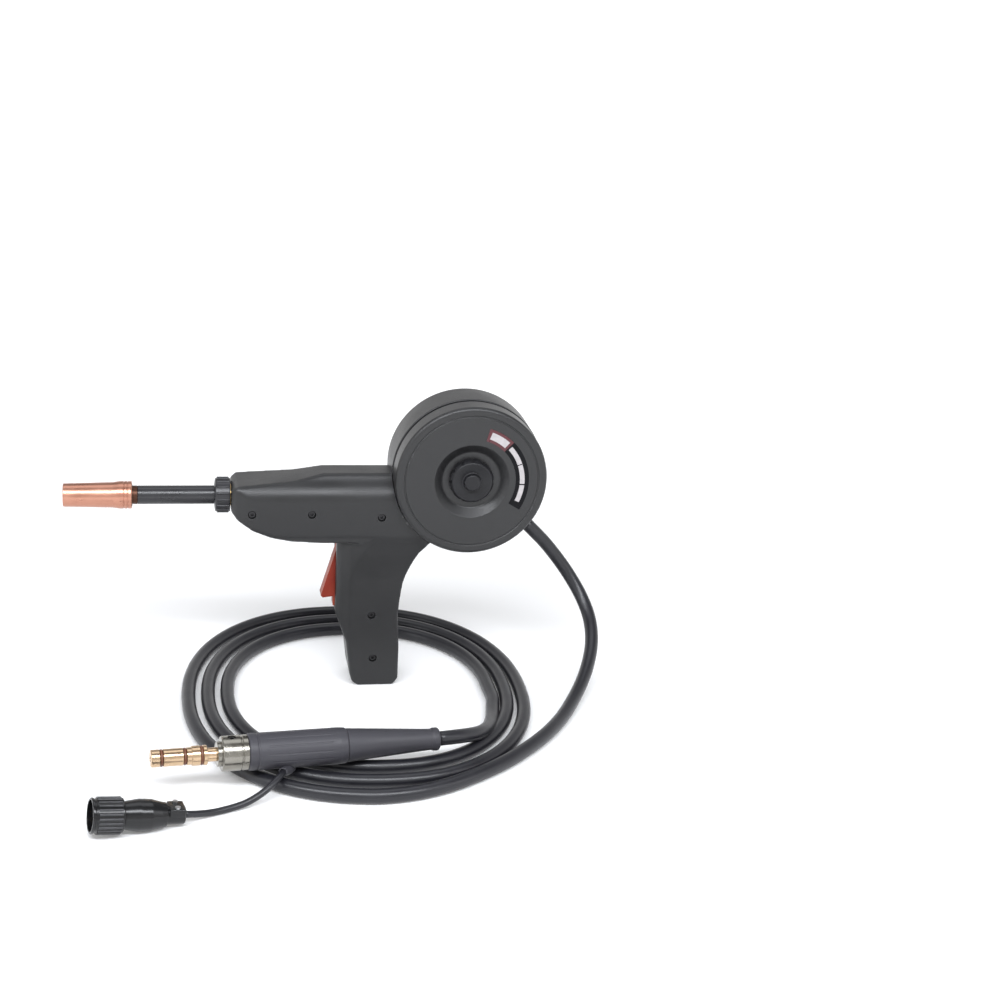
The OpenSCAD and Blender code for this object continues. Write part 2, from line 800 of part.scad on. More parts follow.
module gun_plug() {
    color(brass) on_gun_plug() difference() {
        union() {
            along_x(block_end + 3, neck_end, 5);
            along_x(neck_end, ring_end, 7.2);
            turned_x([[ring_end, 0], [ring_end, plug_r], [plug_end - 1, plug_r],
                [plug_end, plug_r - 1], [plug_end, 0]]);
        }
        along_x(ring_end, plug_end + 1, 2);
    }
}

module control_lead() { color(dark) swept_tube(control_route, lead_d / 2, 8); }

module control_plug() {
    color(dark) on_control_plug() {
        turned_x([[0, 0], [0, 6.4], [1, 7], [clamp_len, 7], [clamp_len, 8.4], [17, 9.2], [24, 11],
            [32, 11.3], [38, 10.4], [cbody_end - 0.3, 9.4], [cbody_end - 0.3, 9], [50, 9], [50, 0]]);
        for (k = [0:3]) rotate([45 + 90 * k, 0, 0]) translate([0, 4.5, 0])
            along_x(48, cplug_end - 5, 1.2);
    }
    color(steel) on_control_plug() for (side = [-1, 1])
        translate([clamp_len / 2, 4 * side, 6]) cylinder(h = 2.6, r = 2);
}

module coupling_ring() {
    color(dark) on_control_plug() difference() {
        union() {
            along_x(cbody_end, cplug_end, ring_r - 0.8);
            for (k = [0:23]) rotate([15 * k, 0, 0]) translate([0, ring_r - 0.8, 0])
                along_x(cbody_end + 2, cplug_end - 4, 0.8);
        }
        along_x(cbody_end - 1, cplug_end + 1, 9.1);
        along_x(51, cplug_end + 1, 10.8);
    }
}

housing_left();
housing_right();
housing_screws();
spool_case();
case_screws();
cable_duct();
spool_cover();
cover_knob();
knob_insert();
spindle_stud();
spool_hub();
brake_washer();
brake_spring();
spring_washer();
spindle_nut();
trigger();
trigger_pin();
trigger_spring();
microswitch();
switch_plunger();
motor_end_cap();
motor_can();
gearhead();
motor_pinion();
feed_plate();
shaft_bushes();
drive_shaft();
drive_gear();
drive_roll();
roll_screw();
pressure_arm();
arm_pin();
pressure_spring();
idler_pin();
idler_roll();
wire_guides();
insulating_pad();
power_block();
power_lead();
tube_adaptor();
tube_nut();
conductor_tube();
tube_jacket();
wire_liner();
gas_diffuser();
nozzle_insulator();
contact_tip();
nozzle();
cable_gland();
cable_boot();
power_cable();
cable_coil();
cable_tail();
connector_boot();
connector_handle();
plug_block();
gun_plug();
control_lead();
control_plug();
coupling_ring();
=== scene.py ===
"""Looks of the pistol-grip wire feeder: its cable, mouldings, feed head, gun tube and plugs.

Everything is in metres in the part's own frame: +X away from the nozzle, -Y the cover's side.
"""

from math import atan2, ceil, copysign, cos, pi, radians, sin, tan, tau

import bmesh
import bpy
from mathutils import Matrix, Vector


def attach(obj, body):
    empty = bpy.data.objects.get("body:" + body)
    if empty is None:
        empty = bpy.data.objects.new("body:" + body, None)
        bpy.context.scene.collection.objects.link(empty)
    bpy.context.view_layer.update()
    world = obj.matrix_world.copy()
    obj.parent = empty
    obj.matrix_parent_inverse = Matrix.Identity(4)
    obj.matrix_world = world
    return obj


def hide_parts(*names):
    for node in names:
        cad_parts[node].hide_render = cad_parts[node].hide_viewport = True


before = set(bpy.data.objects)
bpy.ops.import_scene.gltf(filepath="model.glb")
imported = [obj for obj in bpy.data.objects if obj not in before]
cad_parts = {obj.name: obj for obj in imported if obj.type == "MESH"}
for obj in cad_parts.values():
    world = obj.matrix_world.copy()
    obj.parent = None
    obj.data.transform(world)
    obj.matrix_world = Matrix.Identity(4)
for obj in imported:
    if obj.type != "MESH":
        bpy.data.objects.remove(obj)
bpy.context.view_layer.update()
MM = 0.001

# ---- Stage ----
# A white sweep that glows towards its far edge, a long strip light in front and above, weak
# fills round it and a dim room whose walls are white near the floor.

FLOOR_SIZE = 60.0
FLOOR_DROP = 0.0002
GLOW_REACH, GLOW_RANGE = (0.3, 1.5), (0.14, 0.8)
ROOM_HEIGHTS, ROOM_RANGE = (0.32, 0.62), (1.0, 0.30)
WHITE, PALE = (1, 1, 1, 1), (0.82, 0.82, 0.82, 1)
CAMERA_AT = Vector((-0.1641, -1.3570, 0.6295))
CAMERA_AZIMUTH = radians(-11.0)
CAMERA_PITCH = radians(19.0)
CAMERA_ROLL = radians(3.4)
CAMERA_LENS = 64.8
LAMP_COLOUR = (0.93, 0.955, 1.0)
SOFTBOXES = {
    "front_strip": ((-0.1, -1.05, 1.25), (0, -0.05, 0.1), (2.2, 0.34), 37.0),
    "top_softbox": ((0.0, 0.35, 1.5), (0, 0, 0.1), (1.6, 0.8), 6.0),
    "nozzle_fill": ((-1.5, -0.7, 0.7), (0, -0.05, 0.12), (0.5, 1.0), 3.5),
    "cover_fill": ((1.5, -0.9, 0.8), (0.03, 0, 0.15), (0.5, 1.0), 3.0),
}


def feed(node, inputs):
    """Feeds a node's inputs from sockets, or sets them to constant values."""
    for socket_name, value in inputs.items():
        if isinstance(value, bpy.types.NodeSocket):
            node.id_data.links.new(value, node.inputs[socket_name])
        else:
            node.inputs[socket_name].default_value = value
    return node


def add_node(tree, kind, inputs=None, **settings):
    """Adds a node with its settings and feeds its inputs."""
    node = tree.nodes.new(kind)
    for setting, value in settings.items():
        setattr(node, setting, value)
    return feed(node, inputs or {})


def map_range(tree, value, source, target):
    """Maps a value from one (low, high) pair to another; gives the Result socket."""
    ends = {"From Min": source[0], "From Max": source[1], "To Min": target[0], "To Max": target[1]}
    return add_node(tree, "ShaderNodeMapRange", {"Value": value, **ends}).outputs["Result"]


half_floor = FLOOR_SIZE / 2
floor_corners = [
    (x * half_floor, y * half_floor, -FLOOR_DROP) for x, y in ((-1, -1), (1, -1), (1, 1), (-1, 1))
]
floor_mesh = bpy.data.meshes.new("floor")
floor_mesh.from_pydata(floor_corners, [], [(0, 1, 2, 3)])
pale_floor = bpy.data.materials.new("pale_floor")
pale_floor.use_nodes = True
floor_mesh.materials.append(pale_floor)
floor_tree = pale_floor.node_tree
floor_place = add_node(floor_tree, "ShaderNodeTexCoord").outputs["Object"]
distance = add_node(floor_tree, "ShaderNodeVectorMath", {0: floor_place}, operation="LENGTH")
glow = map_range(floor_tree, distance.outputs["Value"], GLOW_REACH, GLOW_RANGE)
floor_finish = {"Base Color": PALE, "Roughness": 0.7, "Emission Color": WHITE, "Emission Strength": glow}
feed(floor_tree.nodes["Principled BSDF"], floor_finish)
floor = bpy.data.objects.new("floor", floor_mesh)
bpy.context.scene.collection.objects.link(floor)

world = bpy.data.worlds.new("studio_room")
world.use_nodes = True
room = world.node_tree
direction = add_node(room, "ShaderNodeTexCoord").outputs["Generated"]
heading = add_node(room, "ShaderNodeSeparateXYZ", {0: direction})
room_light = map_range(room, heading.outputs["Z"], ROOM_HEIGHTS, ROOM_RANGE)
feed(room.nodes["Background"], {"Color": WHITE, "Strength": room_light})
bpy.context.scene.world = world
bpy.context.scene.view_settings.view_transform = "Standard"

for light_name, (light_at, aimed_at, light_size, power) in SOFTBOXES.items():
    lamp = bpy.data.lights.new(light_name, "AREA")
    lamp.shape = "RECTANGLE"
    lamp.size, lamp.size_y = light_size
    lamp.energy = power
    lamp.color = LAMP_COLOUR
    softbox = bpy.data.objects.new(light_name, lamp)
    softbox.location = light_at
    softbox.rotation_euler = (Vector(aimed_at) - Vector(light_at)).to_track_quat("-Z", "Y").to_euler()
    bpy.context.scene.collection.objects.link(softbox)

camera_data = bpy.data.cameras.new("camera")
camera_data.lens = CAMERA_LENS
camera_data.clip_end = 50
camera = bpy.data.objects.new("camera", camera_data)
bpy.context.scene.collection.objects.link(camera)
bpy.context.scene.camera = camera
camera_back = Vector((sin(CAMERA_AZIMUTH), -cos(CAMERA_AZIMUTH), 0)) * cos(CAMERA_PITCH)
camera_back.z = sin(CAMERA_PITCH)
level_right = (-camera_back).cross(Vector((0, 0, 1))).normalized()
level_up = level_right.cross(-camera_back)
camera_right = level_right * cos(CAMERA_ROLL) + level_up * sin(CAMERA_ROLL)
camera_up = level_up * cos(CAMERA_ROLL) - level_right * sin(CAMERA_ROLL)
camera_turn = Matrix((camera_right, camera_up, camera_back)).transposed().to_4x4()
camera.matrix_world = Matrix.Translation(CAMERA_AT) @ camera_turn

# ---- Power cable ----
# A coaxial welding cable in black rubber, its copper and gas core under one smooth jacket.
# It leaves the boot under the spool case, lies in a flat coil and rises to the gun plug.

CABLE_RADIUS = 5.5 * MM
CABLE_SIDES = 28
RING_SPACING = 3.0 * MM
CURVE_PARTS = 16
COIL_TURNS, COIL_STEPS, COIL_POWER, COIL_Z = 2.74, 48, 2.2, 5.5
COIL_MIDDLE, COIL_DRIFT = (-14, -43), (1.25, 1.75)
COIL_HALF, COIL_SHRINK = (140, 174), (14, 20.25)
CABLE_LEAD_IN = [
    (130, 38, 120), (137, 38.5, 113), (148, 40, 101.5), (160, 40, 87), (171, 36, 72),
    (180, 27, 57), (185, 13, 43), (184, -5, 31), (178, -25, 21.5), (168, -48, 13.5),
    (155, -73, 8), (140, -100, 5.6), (123, -126, 5.5), (104, -149, 5.5), (83, -170, 5.5),
    (60, -188, 5.5), (36, -203, 5.5), (11, -213, 5.5),
]
CABLE_TAIL = [
    (91, -62, 5.5), (88, -80, 5.6), (84, -100, 6.5), (77, -122, 10), (66, -142, 15.5),
    (50, -156, 20.5), (38, -161.5, 22.2), (32, -163, 22.4),
]


def coil_point(turn):
    """Centre of the cable after so many turns of the coil, which draws in as it goes."""
    angle = -pi / 2 - tau * turn
    spot = []
    for i, way in enumerate((cos(angle), sin(angle))):
        reach = (COIL_HALF[i] - COIL_SHRINK[i] * turn) * copysign(abs(way) ** (2 / COIL_POWER), way)
        spot.append(COIL_MIDDLE[i] + COIL_DRIFT[i] * turn + reach)
    return (*spot, COIL_Z)


def through(points, spacing):
    """Evenly spaced points on the smooth curve through the given ones, in metres."""
    given = [Vector(p) * MM for p in points]
    padded = [given[0] * 2 - given[1], *given, given[-1] * 2 - given[-2]]
    fine = []
    for before, start, end, after in zip(padded, padded[1:], padded[2:], padded[3:]):
        for part in range(CURVE_PARTS):
            t = part / CURVE_PARTS
            bend = (2 * before - 5 * start + 4 * end - after) * t**2
            twist = (3 * start - before - 3 * end + after) * t**3
            fine.append(0.5 * (2 * start + (end - before) * t + bend + twist))
    fine.append(given[-1])
    total = sum((b - a).length for a, b in zip(fine, fine[1:]))
    count = ceil(total / spacing)
    even, walked, target = [fine[0]], 0.0, total / count
    for a, b in zip(fine, fine[1:]):
        step = (b - a).length
        while walked + step >= target - 1e-9 and len(even) < count:
            even.append(a.lerp(b, (target - walked) / step))
            target += total / count
        walked += step
    even.append(fine[-1])
    return even


def length_of(path):
    """Length of a path along its points."""
    return sum((b - a).length for a, b in zip(path, path[1:]))


def linked(name, mesh, material=None):
    """An object at the origin with this mesh, shaded smooth."""
    if material:
        mesh.materials.append(material)
    mesh.polygons.foreach_set("use_smooth", [True] * len(mesh.polygons))
    piece = bpy.data.objects.new(name, mesh)
    bpy.context.scene.collection.objects.link(piece)
    return piece


def fit(piece, slot, *nodes, body="root"):
    """The piece rides on a body and stands for CAD nodes, which it hides. Its slot argument is not used.
    """
    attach(piece, body)
    if nodes:
        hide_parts(*nodes)


def swept(name, path, radius, sides, material):
    """A round tube along a path, closed at its ends, with a UV map in metres along it."""
    count = len(path)
    forward = [(path[min(i + 1, count - 1)] - path[max(i - 1, 0)]).normalized() for i in range(count)]
    side = forward[0].orthogonal().normalized()
    verts = []
    for i, centre in enumerate(path):
        side = (side - forward[i] * side.dot(forward[i])).normalized()
        top = forward[i].cross(side)
        for k in range(sides):
            turn = tau * k / sides
            verts.append(centre + (side * cos(turn) + top * sin(turn)) * radius)
    faces = []
    for i in range(count - 1):
        for k in range(sides):
            here, beside = i * sides + k, i * sides + (k + 1) % sides
            faces.append((here, beside, beside + sides, here + sides))
    faces += [tuple(range(sides))[::-1], tuple(range((count - 1) * sides, count * sides))]
    mesh = bpy.data.meshes.new(name)
    mesh.from_pydata(verts, [], faces)
    piece = linked(name, mesh, material)
    step = length_of(path) / (count - 1)
    layer = piece.data.uv_layers.new(name="along").data
    for polygon in piece.data.polygons[: (count - 1) * sides]:
        i, k = divmod(polygon.index, sides)
        for corner, (du, dv) in zip(polygon.loop_indices, ((0, 0), (1, 0), (1, 1), (0, 1))):
            layer[corner].uv = ((k + du) / sides * tau * radius, (i + dv) * step)
    return piece


def group_tree(name, sizes, outputs):
    """A shader group that takes a vector and named sizes and puts out named values."""
    tree = bpy.data.node_groups.new(name, "ShaderNodeTree")
    tree.interface.new_socket("Vector", in_out="INPUT", socket_type="NodeSocketVector")
    for size_name, value in sizes.items():
        socket = tree.interface.new_socket(size_name, in_out="INPUT", socket_type="NodeSocketFloat")
        socket.default_value = value
    for output_name in outputs:
        tree.interface.new_socket(output_name, in_out="OUTPUT", socket_type="NodeSocketFloat")
    return tree, tree.nodes.new("NodeGroupInput").outputs, tree.nodes.new("NodeGroupOutput")


def math_node(tree, operation, first, second):
    """A Math node on two sockets or numbers; gives its output socket."""
    return add_node(tree, "ShaderNodeMath", {0: first, 1: second}, operation=operation).outputs[0]


def noise_node(tree, vector, scale, detail):
    """A Noise node; gives its Factor socket."""
    inputs = {"Vector": vector, "Scale": scale, "Detail": detail}
    return add_node(tree, "ShaderNodeTexNoise", inputs).outputs[0]


def grain_group():
    """Cloudy tone and fine surface grain of a moulded, cast or extruded surface."""
    sizes = {"Cloud scale": 20.0, "Grain scale": 2000.0}
    tree, given, out = group_tree("surface_grain", sizes, ["Tone", "Height"])
    cloud = noise_node(tree, given["Vector"], given["Cloud scale"], 4.0)
    grain = noise_node(tree, given["Vector"], given["Grain scale"], 2.0)
    pits = add_node(
        tree, "ShaderNodeTexVoronoi", {"Vector": given["Vector"], "Scale": given["Grain scale"]}
    )
    height = math_node(tree, "ADD", math_node(tree, "MULTIPLY", grain, 0.6), pits.outputs["Distance"])
    feed(out, {"Tone": cloud, "Height": height})
    return tree


def wear_group():
    """Mask of the rubbed edges: convex corners broken up by noise."""
    tree, given, out = group_tree("edge_wear", {"Start": 0.52, "Patch scale": 90.0}, ["Mask"])
    corner = add_node(tree, "ShaderNodeNewGeometry").outputs["Pointiness"]
    patches = noise_node(tree, given["Vector"], given["Patch scale"], 5.0)
    edge = math_node(tree, "MULTIPLY", math_node(tree, "SUBTRACT", corner, given["Start"]), 14.0)
    broken = math_node(tree, "MULTIPLY", edge, math_node(tree, "MULTIPLY", patches, 1.6))
    feed(out, {"Mask": add_node(tree, "ShaderNodeClamp", {"Value": broken}).outputs[0]})
    return tree


GRAIN = grain_group()
WEAR = wear_group()
WAVE_PERIOD = 0.314
TONE_ENDS = (0.3, 0.7)


def mixed(tree, mask, first, second):
    """Two colours, as sockets or values, mixed by a mask; gives the colour socket."""
    colours = {0: mask, 6: first, 7: second}
    return add_node(tree, "ShaderNodeMix", colours, data_type="RGBA").outputs[2]


def surface(
    name, dark, light, rough, cloud, grain, depth, metallic=0, specular=0.5, worn=None,
    wear_start=0.52, uv=None, rings=None,
):
    """A finish whose tone and roughness vary between two values, with fine grain as relief.

    The clouds and the grain have their own scale, and the grain's depth is in millimetres. A worn
    colour shows on rubbed edges. rings = (turn, spacing, depth) adds a lathe's fine marks.
    """
    made = bpy.data.materials.new(name)
    made.use_nodes = True
    tree = made.node_tree
    if uv:
        vector = add_node(tree, "ShaderNodeUVMap", uv_map=uv).outputs["UV"]
    else:
        vector = add_node(tree, "ShaderNodeTexCoord").outputs["Object"]
    texture = add_node(tree, "ShaderNodeGroup", node_tree=GRAIN)
    feed(texture, {"Vector": vector, "Cloud scale": cloud, "Grain scale": grain})
    tone, height = texture.outputs["Tone"], texture.outputs["Height"]
    colour = mixed(tree, tone, (*dark, 1), (*light, 1))
    if worn:
        edges = add_node(tree, "ShaderNodeGroup", node_tree=WEAR)
        feed(edges, {"Vector": vector, "Start": wear_start})
        colour = mixed(tree, edges.outputs["Mask"], colour, (*worn, 1))
    if rings:
        turn, spacing, ring_depth = rings
        moved = add_node(tree, "ShaderNodeMapping", {"Vector": vector, "Rotation": turn})
        waves = {"Scale": WAVE_PERIOD / spacing, "Distortion": 0.4, "Detail": 3.0}
        lathe = add_node(tree, "ShaderNodeTexWave", waves, bands_direction="X")
        feed(lathe, {"Vector": moved.outputs["Vector"]})
        marks = math_node(tree, "MULTIPLY", lathe.outputs["Fac"], ring_depth)
        height = math_node(tree, "ADD", height, marks)
    relief = {"Height": height, "Strength": 1.0, "Distance": depth * MM}
    finish = {
        "Base Color": colour,
        "Roughness": map_range(tree, tone, TONE_ENDS, rough),
        "Normal": add_node(tree, "ShaderNodeBump", relief).outputs["Normal"],
        "Metallic": metallic,
        "Specular IOR Level": specular,
    }
    feed(tree.nodes["Principled BSDF"], finish)
    return made


cable_rubber = surface(
    "cable_rubber", (0.007, 0.007, 0.0095), (0.013, 0.013, 0.017), (0.28, 0.39), 55, 1500, 0.03,
    uv="along",
)
cable_points = [*CABLE_LEAD_IN]
cable_points += [coil_point(step / COIL_STEPS) for step in range(round(COIL_TURNS * COIL_STEPS) + 1)]
cable_points += CABLE_TAIL
cable_path = through(cable_points, RING_SPACING)
power_cable = swept("power_cable_jacket", cable_path, CABLE_RADIUS, CABLE_SIDES, cable_rubber)
fit(power_cable, "cable_rubber", "power_cable", "cable_coil", "cable_tail")

# ---- Control lead ----
# The thin two-core lead that leaves the plug's handle and ends in the control plug, in the
# same black rubber as the cable.

LEAD_RADIUS = 2.5 * MM
LEAD_SIDES = 20
LEAD_ROUTE = [
    (-81, -187, 14), (-84, -193, 14.8), (-88, -201, 14.6), (-94, -208, 11.8),
    (-102, -213.5, 7.8), (-112, -218, 4.2), (-124, -222.5, 2.6), (-136, -227.5, 2.8),
    (-146, -232.5, 4.8), (-155, -237, 7.4),
]
lead_path = through(LEAD_ROUTE, 2.0 * MM)
control_lead = swept("control_lead_jacket", lead_path, LEAD_RADIUS, LEAD_SIDES, cable_rubber)
fit(control_lead, "cable_rubber", "control_lead")

# ---- Housing halves ----
# Two glass-filled nylon mouldings, left and right, that meet on the middle plane: a barrel with
# a raised spine along its top, and a pistol grip that runs up under the spool case. Thin walls
# close the saddle behind the cover's rim.

WIRE_Z = 159
SPOOL_X, SPOOL_Z = 70, 180.5
CASE_R = 61
BODY_HALF, GRIP_HALF = 25, 19
WALL = 2.5
SADDLE_WALL = 2.1
SEAM_GAP = 0.12
BODY_VOXEL, HOLLOW_VOXEL = 1.05, 1.7
BODY_SIDE = [
    (-117, 150), (-117, 168.5), (-112, 171.5), (-68, 175), (-45, 180), (30, 180), (48, 126),
    (28, 124.8), (-33, 125), (-47, 125.2), (-70, 127), (-86, 130.7), (-100, 136.2), (-112, 144.3),
]
GRIP_SIDE = [
    (-33, 130), (-33, 62), (-24, 38), (-20.7, 11), (-18.4, 3), (-14, 0), (15, 0), (19.5, 5),
    (19.3, 32), (17.5, 62), (18.9, 77), (20.5, 89), (23, 97), (28, 108), (33, 117),
    (40, 123.5), (48, 127),
]


def level_outline(half):
    """A closed outline in plan from its half on the cover's side."""
    return half + [(x, -y) for x, y in reversed(half)]


def upright_outline(half):
    """A closed section from its half on the far side."""
    other = [(-y, z) for y, z in reversed(half)]
    return [other[-1], *half, *other[:-1]]


BODY_SECTION = upright_outline([
    (16, 121), (22, 125), (25, 131), (25, 158.5), (24.6, 162.2), (23.6, 165.7), (21.9, 168.9),
    (19.6, 171.8), (15.5, 175.6), (12, 180),
])
NECK_SECTION = upright_outline([
    (25, 136), (24.9, 131), (24.2, 126), (22.9, 120.5), (21.4, 114), (20.2, 107), (19.4, 100),
    (18.9, 92),
])
BODY_PLAN = level_outline([(-117, -17), (-113, -21.5), (-106, -24), (-96, -25), (60, -25)])
GRIP_PLAN = level_outline([(-36, -8), (-30, -15), (-22, -19), (46, -19), (52, -12)])
NECK_PLAN = level_outline([(-36, -8), (-30, -15), (-22, -19), (-2, -25), (34, -25), (52, -14)])
BODY_SCREWS = [(-101, 150.4), (-54.4, 150.4), (0.8, 147.7)]
GRIP_SCREWS = [(-4.1, 61.8), (-1.9, 23.9)]
SCREW_R, SCREW_HEAD_R, BOSS_R = 1.8, 3.3, 3.7
BOSS_INSET, SCREW_SEAT, SCREW_TIP_WALL = 1.2, 4, 2
MOUTH_R, MOUTH_GROOVE_R = 8.5, 11
LEAD_HOLE, LEAD_HOLE_R = (4.5, 138), 7
CASE_GAP, SADDLE_WALL_FROM = 0.1, -10
PIVOT = (-26, 117)
TRIGGER_WIDTH = 12


def from_bmesh(name, shape, material):
    """A piece from a bmesh whose doubles are merged and whose faces point outwards."""
    bmesh.ops.remove_doubles(shape, verts=shape.verts, dist=1e-7)
    bmesh.ops.recalc_face_normals(shape, faces=shape.faces)
    mesh = bpy.data.meshes.new(name)
    shape.to_mesh(mesh)
    shape.free()
    return linked(name, mesh, material)


def prism(name, outline, axis, low, high, material=None):
    """An outline in millimetres drawn out along an axis. It lies in the plane of the other two."""
    put = {
        "X": lambda a, b, c: (c, a, b),
        "Y": lambda a, b, c: (a, c, b),
        "Z": lambda a, b, c: (a, b, c),
    }[axis]
    shape = bmesh.new()
    rows = [[shape.verts.new(Vector(put(a, b, c)) * MM) for a, b in outline] for c in (low, high)]
    for row in rows:
        shape.faces.new(row)
    for i in range(len(outline)):
        j = (i + 1) % len(outline)
        shape.faces.new((rows[0][i], rows[0][j], rows[1][j], rows[1][i]))
    return from_bmesh(name, shape, material)


def rod(start, end, radius, sides=48, material=None):
    """A round bar between two points in millimetres."""
    start, end = Vector(start), Vector(end)
    shape = bmesh.new()
    bmesh.ops.create_cone(
        shape, cap_ends=True, segments=sides, radius1=radius * MM, radius2=radius * MM,
        depth=(end - start).length * MM,
    )
    turn = (end - start).to_track_quat("Z", "Y").to_matrix().to_4x4()
    shape.transform(Matrix.Translation((start + end) / 2 * MM) @ turn)
    return from_bmesh("rod", shape, material)


def across(at, y0, y1, radius, sides=48):
    """A round bar along Y at a place on the side, (x, z)."""
    return rod((at[0], y0, at[1]), (at[0], y1, at[1]), radius, sides)


def block(low, high):
    """A plain box between two corners in millimetres."""
    corners = [(low[0], low[1]), (high[0], low[1]), (high[0], high[1]), (low[0], high[1])]
    return prism("block", corners, "Z", low[2], high[2])


def modify(piece, kind, **settings):
    """Adds a modifier with its settings, to be baked later."""
    modifier = piece.modifiers.new(kind, kind)
    for setting, value in settings.items():
        setattr(modifier, setting, value)


def bake(piece):
    """Turns the piece's modifiers into its plain mesh."""
    graph = bpy.context.evaluated_depsgraph_get()
    made = bpy.data.meshes.new_from_object(piece.evaluated_get(graph), depsgraph=graph)
    piece.modifiers.clear()
    piece.data = made
    return piece


def carve(piece, tool, operation="DIFFERENCE"):
    """Cuts the tool out of the piece, or joins or intersects the two, and drops the tool."""
    modify(piece, "BOOLEAN", operation=operation, solver="MANIFOLD", object=tool)
    bake(piece)
    bpy.data.objects.remove(tool)
    return piece


def crisp(piece, angle=32.0):
    """Smooth shading that breaks at real edges, its normals weighted to the larger faces."""
    piece.data.polygons.foreach_set("use_smooth", [True] * len(piece.data.polygons))
    piece.data.set_sharp_from_angle(angle=radians(angle))
    modify(piece, "WEIGHTED_NORMAL", keep_sharp=True)
    return bake(piece)


body_nylon = surface(
    "body_nylon", (0.0095, 0.0095, 0.010), (0.015, 0.015, 0.016), (0.33, 0.43), 28, 1700, 0.04,
    specular=0.42, worn=(0.07, 0.07, 0.074), wear_start=0.515,
)
form = prism("housing", BODY_SIDE, "Y", -BODY_HALF, BODY_HALF, body_nylon)
carve(form, prism("section", BODY_SECTION, "X", -118, 61), "INTERSECT")
carve(form, prism("plan", BODY_PLAN, "Z", 110, 190), "INTERSECT")
grip_form = prism("grip", GRIP_SIDE, "Y", -GRIP_HALF, GRIP_HALF)
carve(grip_form, prism("grip_plan", GRIP_PLAN, "Z", -1, 129), "INTERSECT")
carve(form, grip_form, "UNION")
neck_side = [(48, 136), (-33, 136), (-33, 90)] + [(x, z) for x, z in GRIP_SIDE[8:] if z > 88]
neck = prism("neck", neck_side, "Y", -BODY_HALF, BODY_HALF)
carve(neck, prism("neck_section", NECK_SECTION, "X", -40, 60), "INTERSECT")
carve(neck, prism("neck_plan", NECK_PLAN, "Z", 80, 140), "INTERSECT")
carve(form, neck, "UNION")
modify(form, "REMESH", mode="VOXEL", voxel_size=BODY_VOXEL * MM)
modify(form, "SMOOTH", factor=0.5, iterations=12)
bake(form)
hollow = linked("hollow", form.data.copy())
modify(hollow, "DISPLACE", strength=-WALL * MM, mid_level=0.0)
modify(hollow, "REMESH", mode="VOXEL", voxel_size=HOLLOW_VOXEL * MM)
bake(hollow)
saddle = across((SPOOL_X, SPOOL_Z), -BODY_HALF - 1, SADDLE_WALL_FROM, CASE_R + SADDLE_WALL, 160)
carve(hollow, saddle)
carve(form, hollow)
screw_spots = [(at, BODY_HALF) for at in BODY_SCREWS] + [(at, GRIP_HALF) for at in GRIP_SCREWS]
for place, half in screw_spots:
    carve(form, across(place, -half + BOSS_INSET, half - BOSS_INSET, BOSS_R, 32), "UNION")
carve(form, across((SPOOL_X, SPOOL_Z), -60, 60, CASE_R + CASE_GAP, 160))
slot_half = TRIGGER_WIDTH / 2 + 0.4
carve(form, block((-40, -slot_half, 64.5), (-27, slot_half, 122.5)))
for place, half in screw_spots:
    carve(form, across(place, -half - 1, half - SCREW_TIP_WALL, SCREW_R, 24))
    carve(form, across(place, -half - 1, -half + SCREW_SEAT, SCREW_HEAD_R, 40))
carve(form, rod((-119, 0, WIRE_Z), (-103, 0, WIRE_Z), MOUTH_R, 64))
carve(form, rod((-114, 0, WIRE_Z), (-110, 0, WIRE_Z), MOUTH_GROOVE_R, 64))
carve(form, across(LEAD_HOLE, 15, BODY_HALF + 1, LEAD_HOLE_R))
housing_right = linked("housing_right_shell", form.data.copy())
form.name = "housing_left_shell"
carve(form, block((-150, SEAM_GAP, -5), (80, 60, 205)), "INTERSECT")
carve(housing_right, block((-150, -60, -5), (80, -SEAM_GAP, 205)), "INTERSECT")
fit(crisp(form), "body_plastic", "housing_left")
fit(crisp(housing_right), "body_plastic", "housing_right")

# ---- Housing screws ----
# Five blackened pan-head screws with hex sockets, sunk in the right half's counterbores and
# threaded into bosses moulded in the left half.

SCREW_HEAD_DEPTH, SCREW_LENGTH = 2.5, 34


def arc_corner(before, corner, after, radius, steps):
    """Points of the arc that rounds a corner of a profile."""
    to_before, to_after = before - corner, after - corner
    shortest = min(to_before.length, to_after.length)
    if radius <= 0 or shortest < 1e-9:
        return [corner]
    half_angle = to_before.angle(to_after) / 2
    reach = min(radius / tan(half_angle), 0.49 * shortest) if half_angle > 1e-3 else 0
    first = corner + to_before.normalized() * reach
    last = corner + to_after.normalized() * reach
    weight = sin(half_angle)
    arc = []
    for i in range(steps + 1):
        t = i / steps
        a, b, c = (1 - t) ** 2, 2 * weight * t * (1 - t), t**2
        arc.append((first * a + corner * b + last * c) / (a + b + c))
    return arc


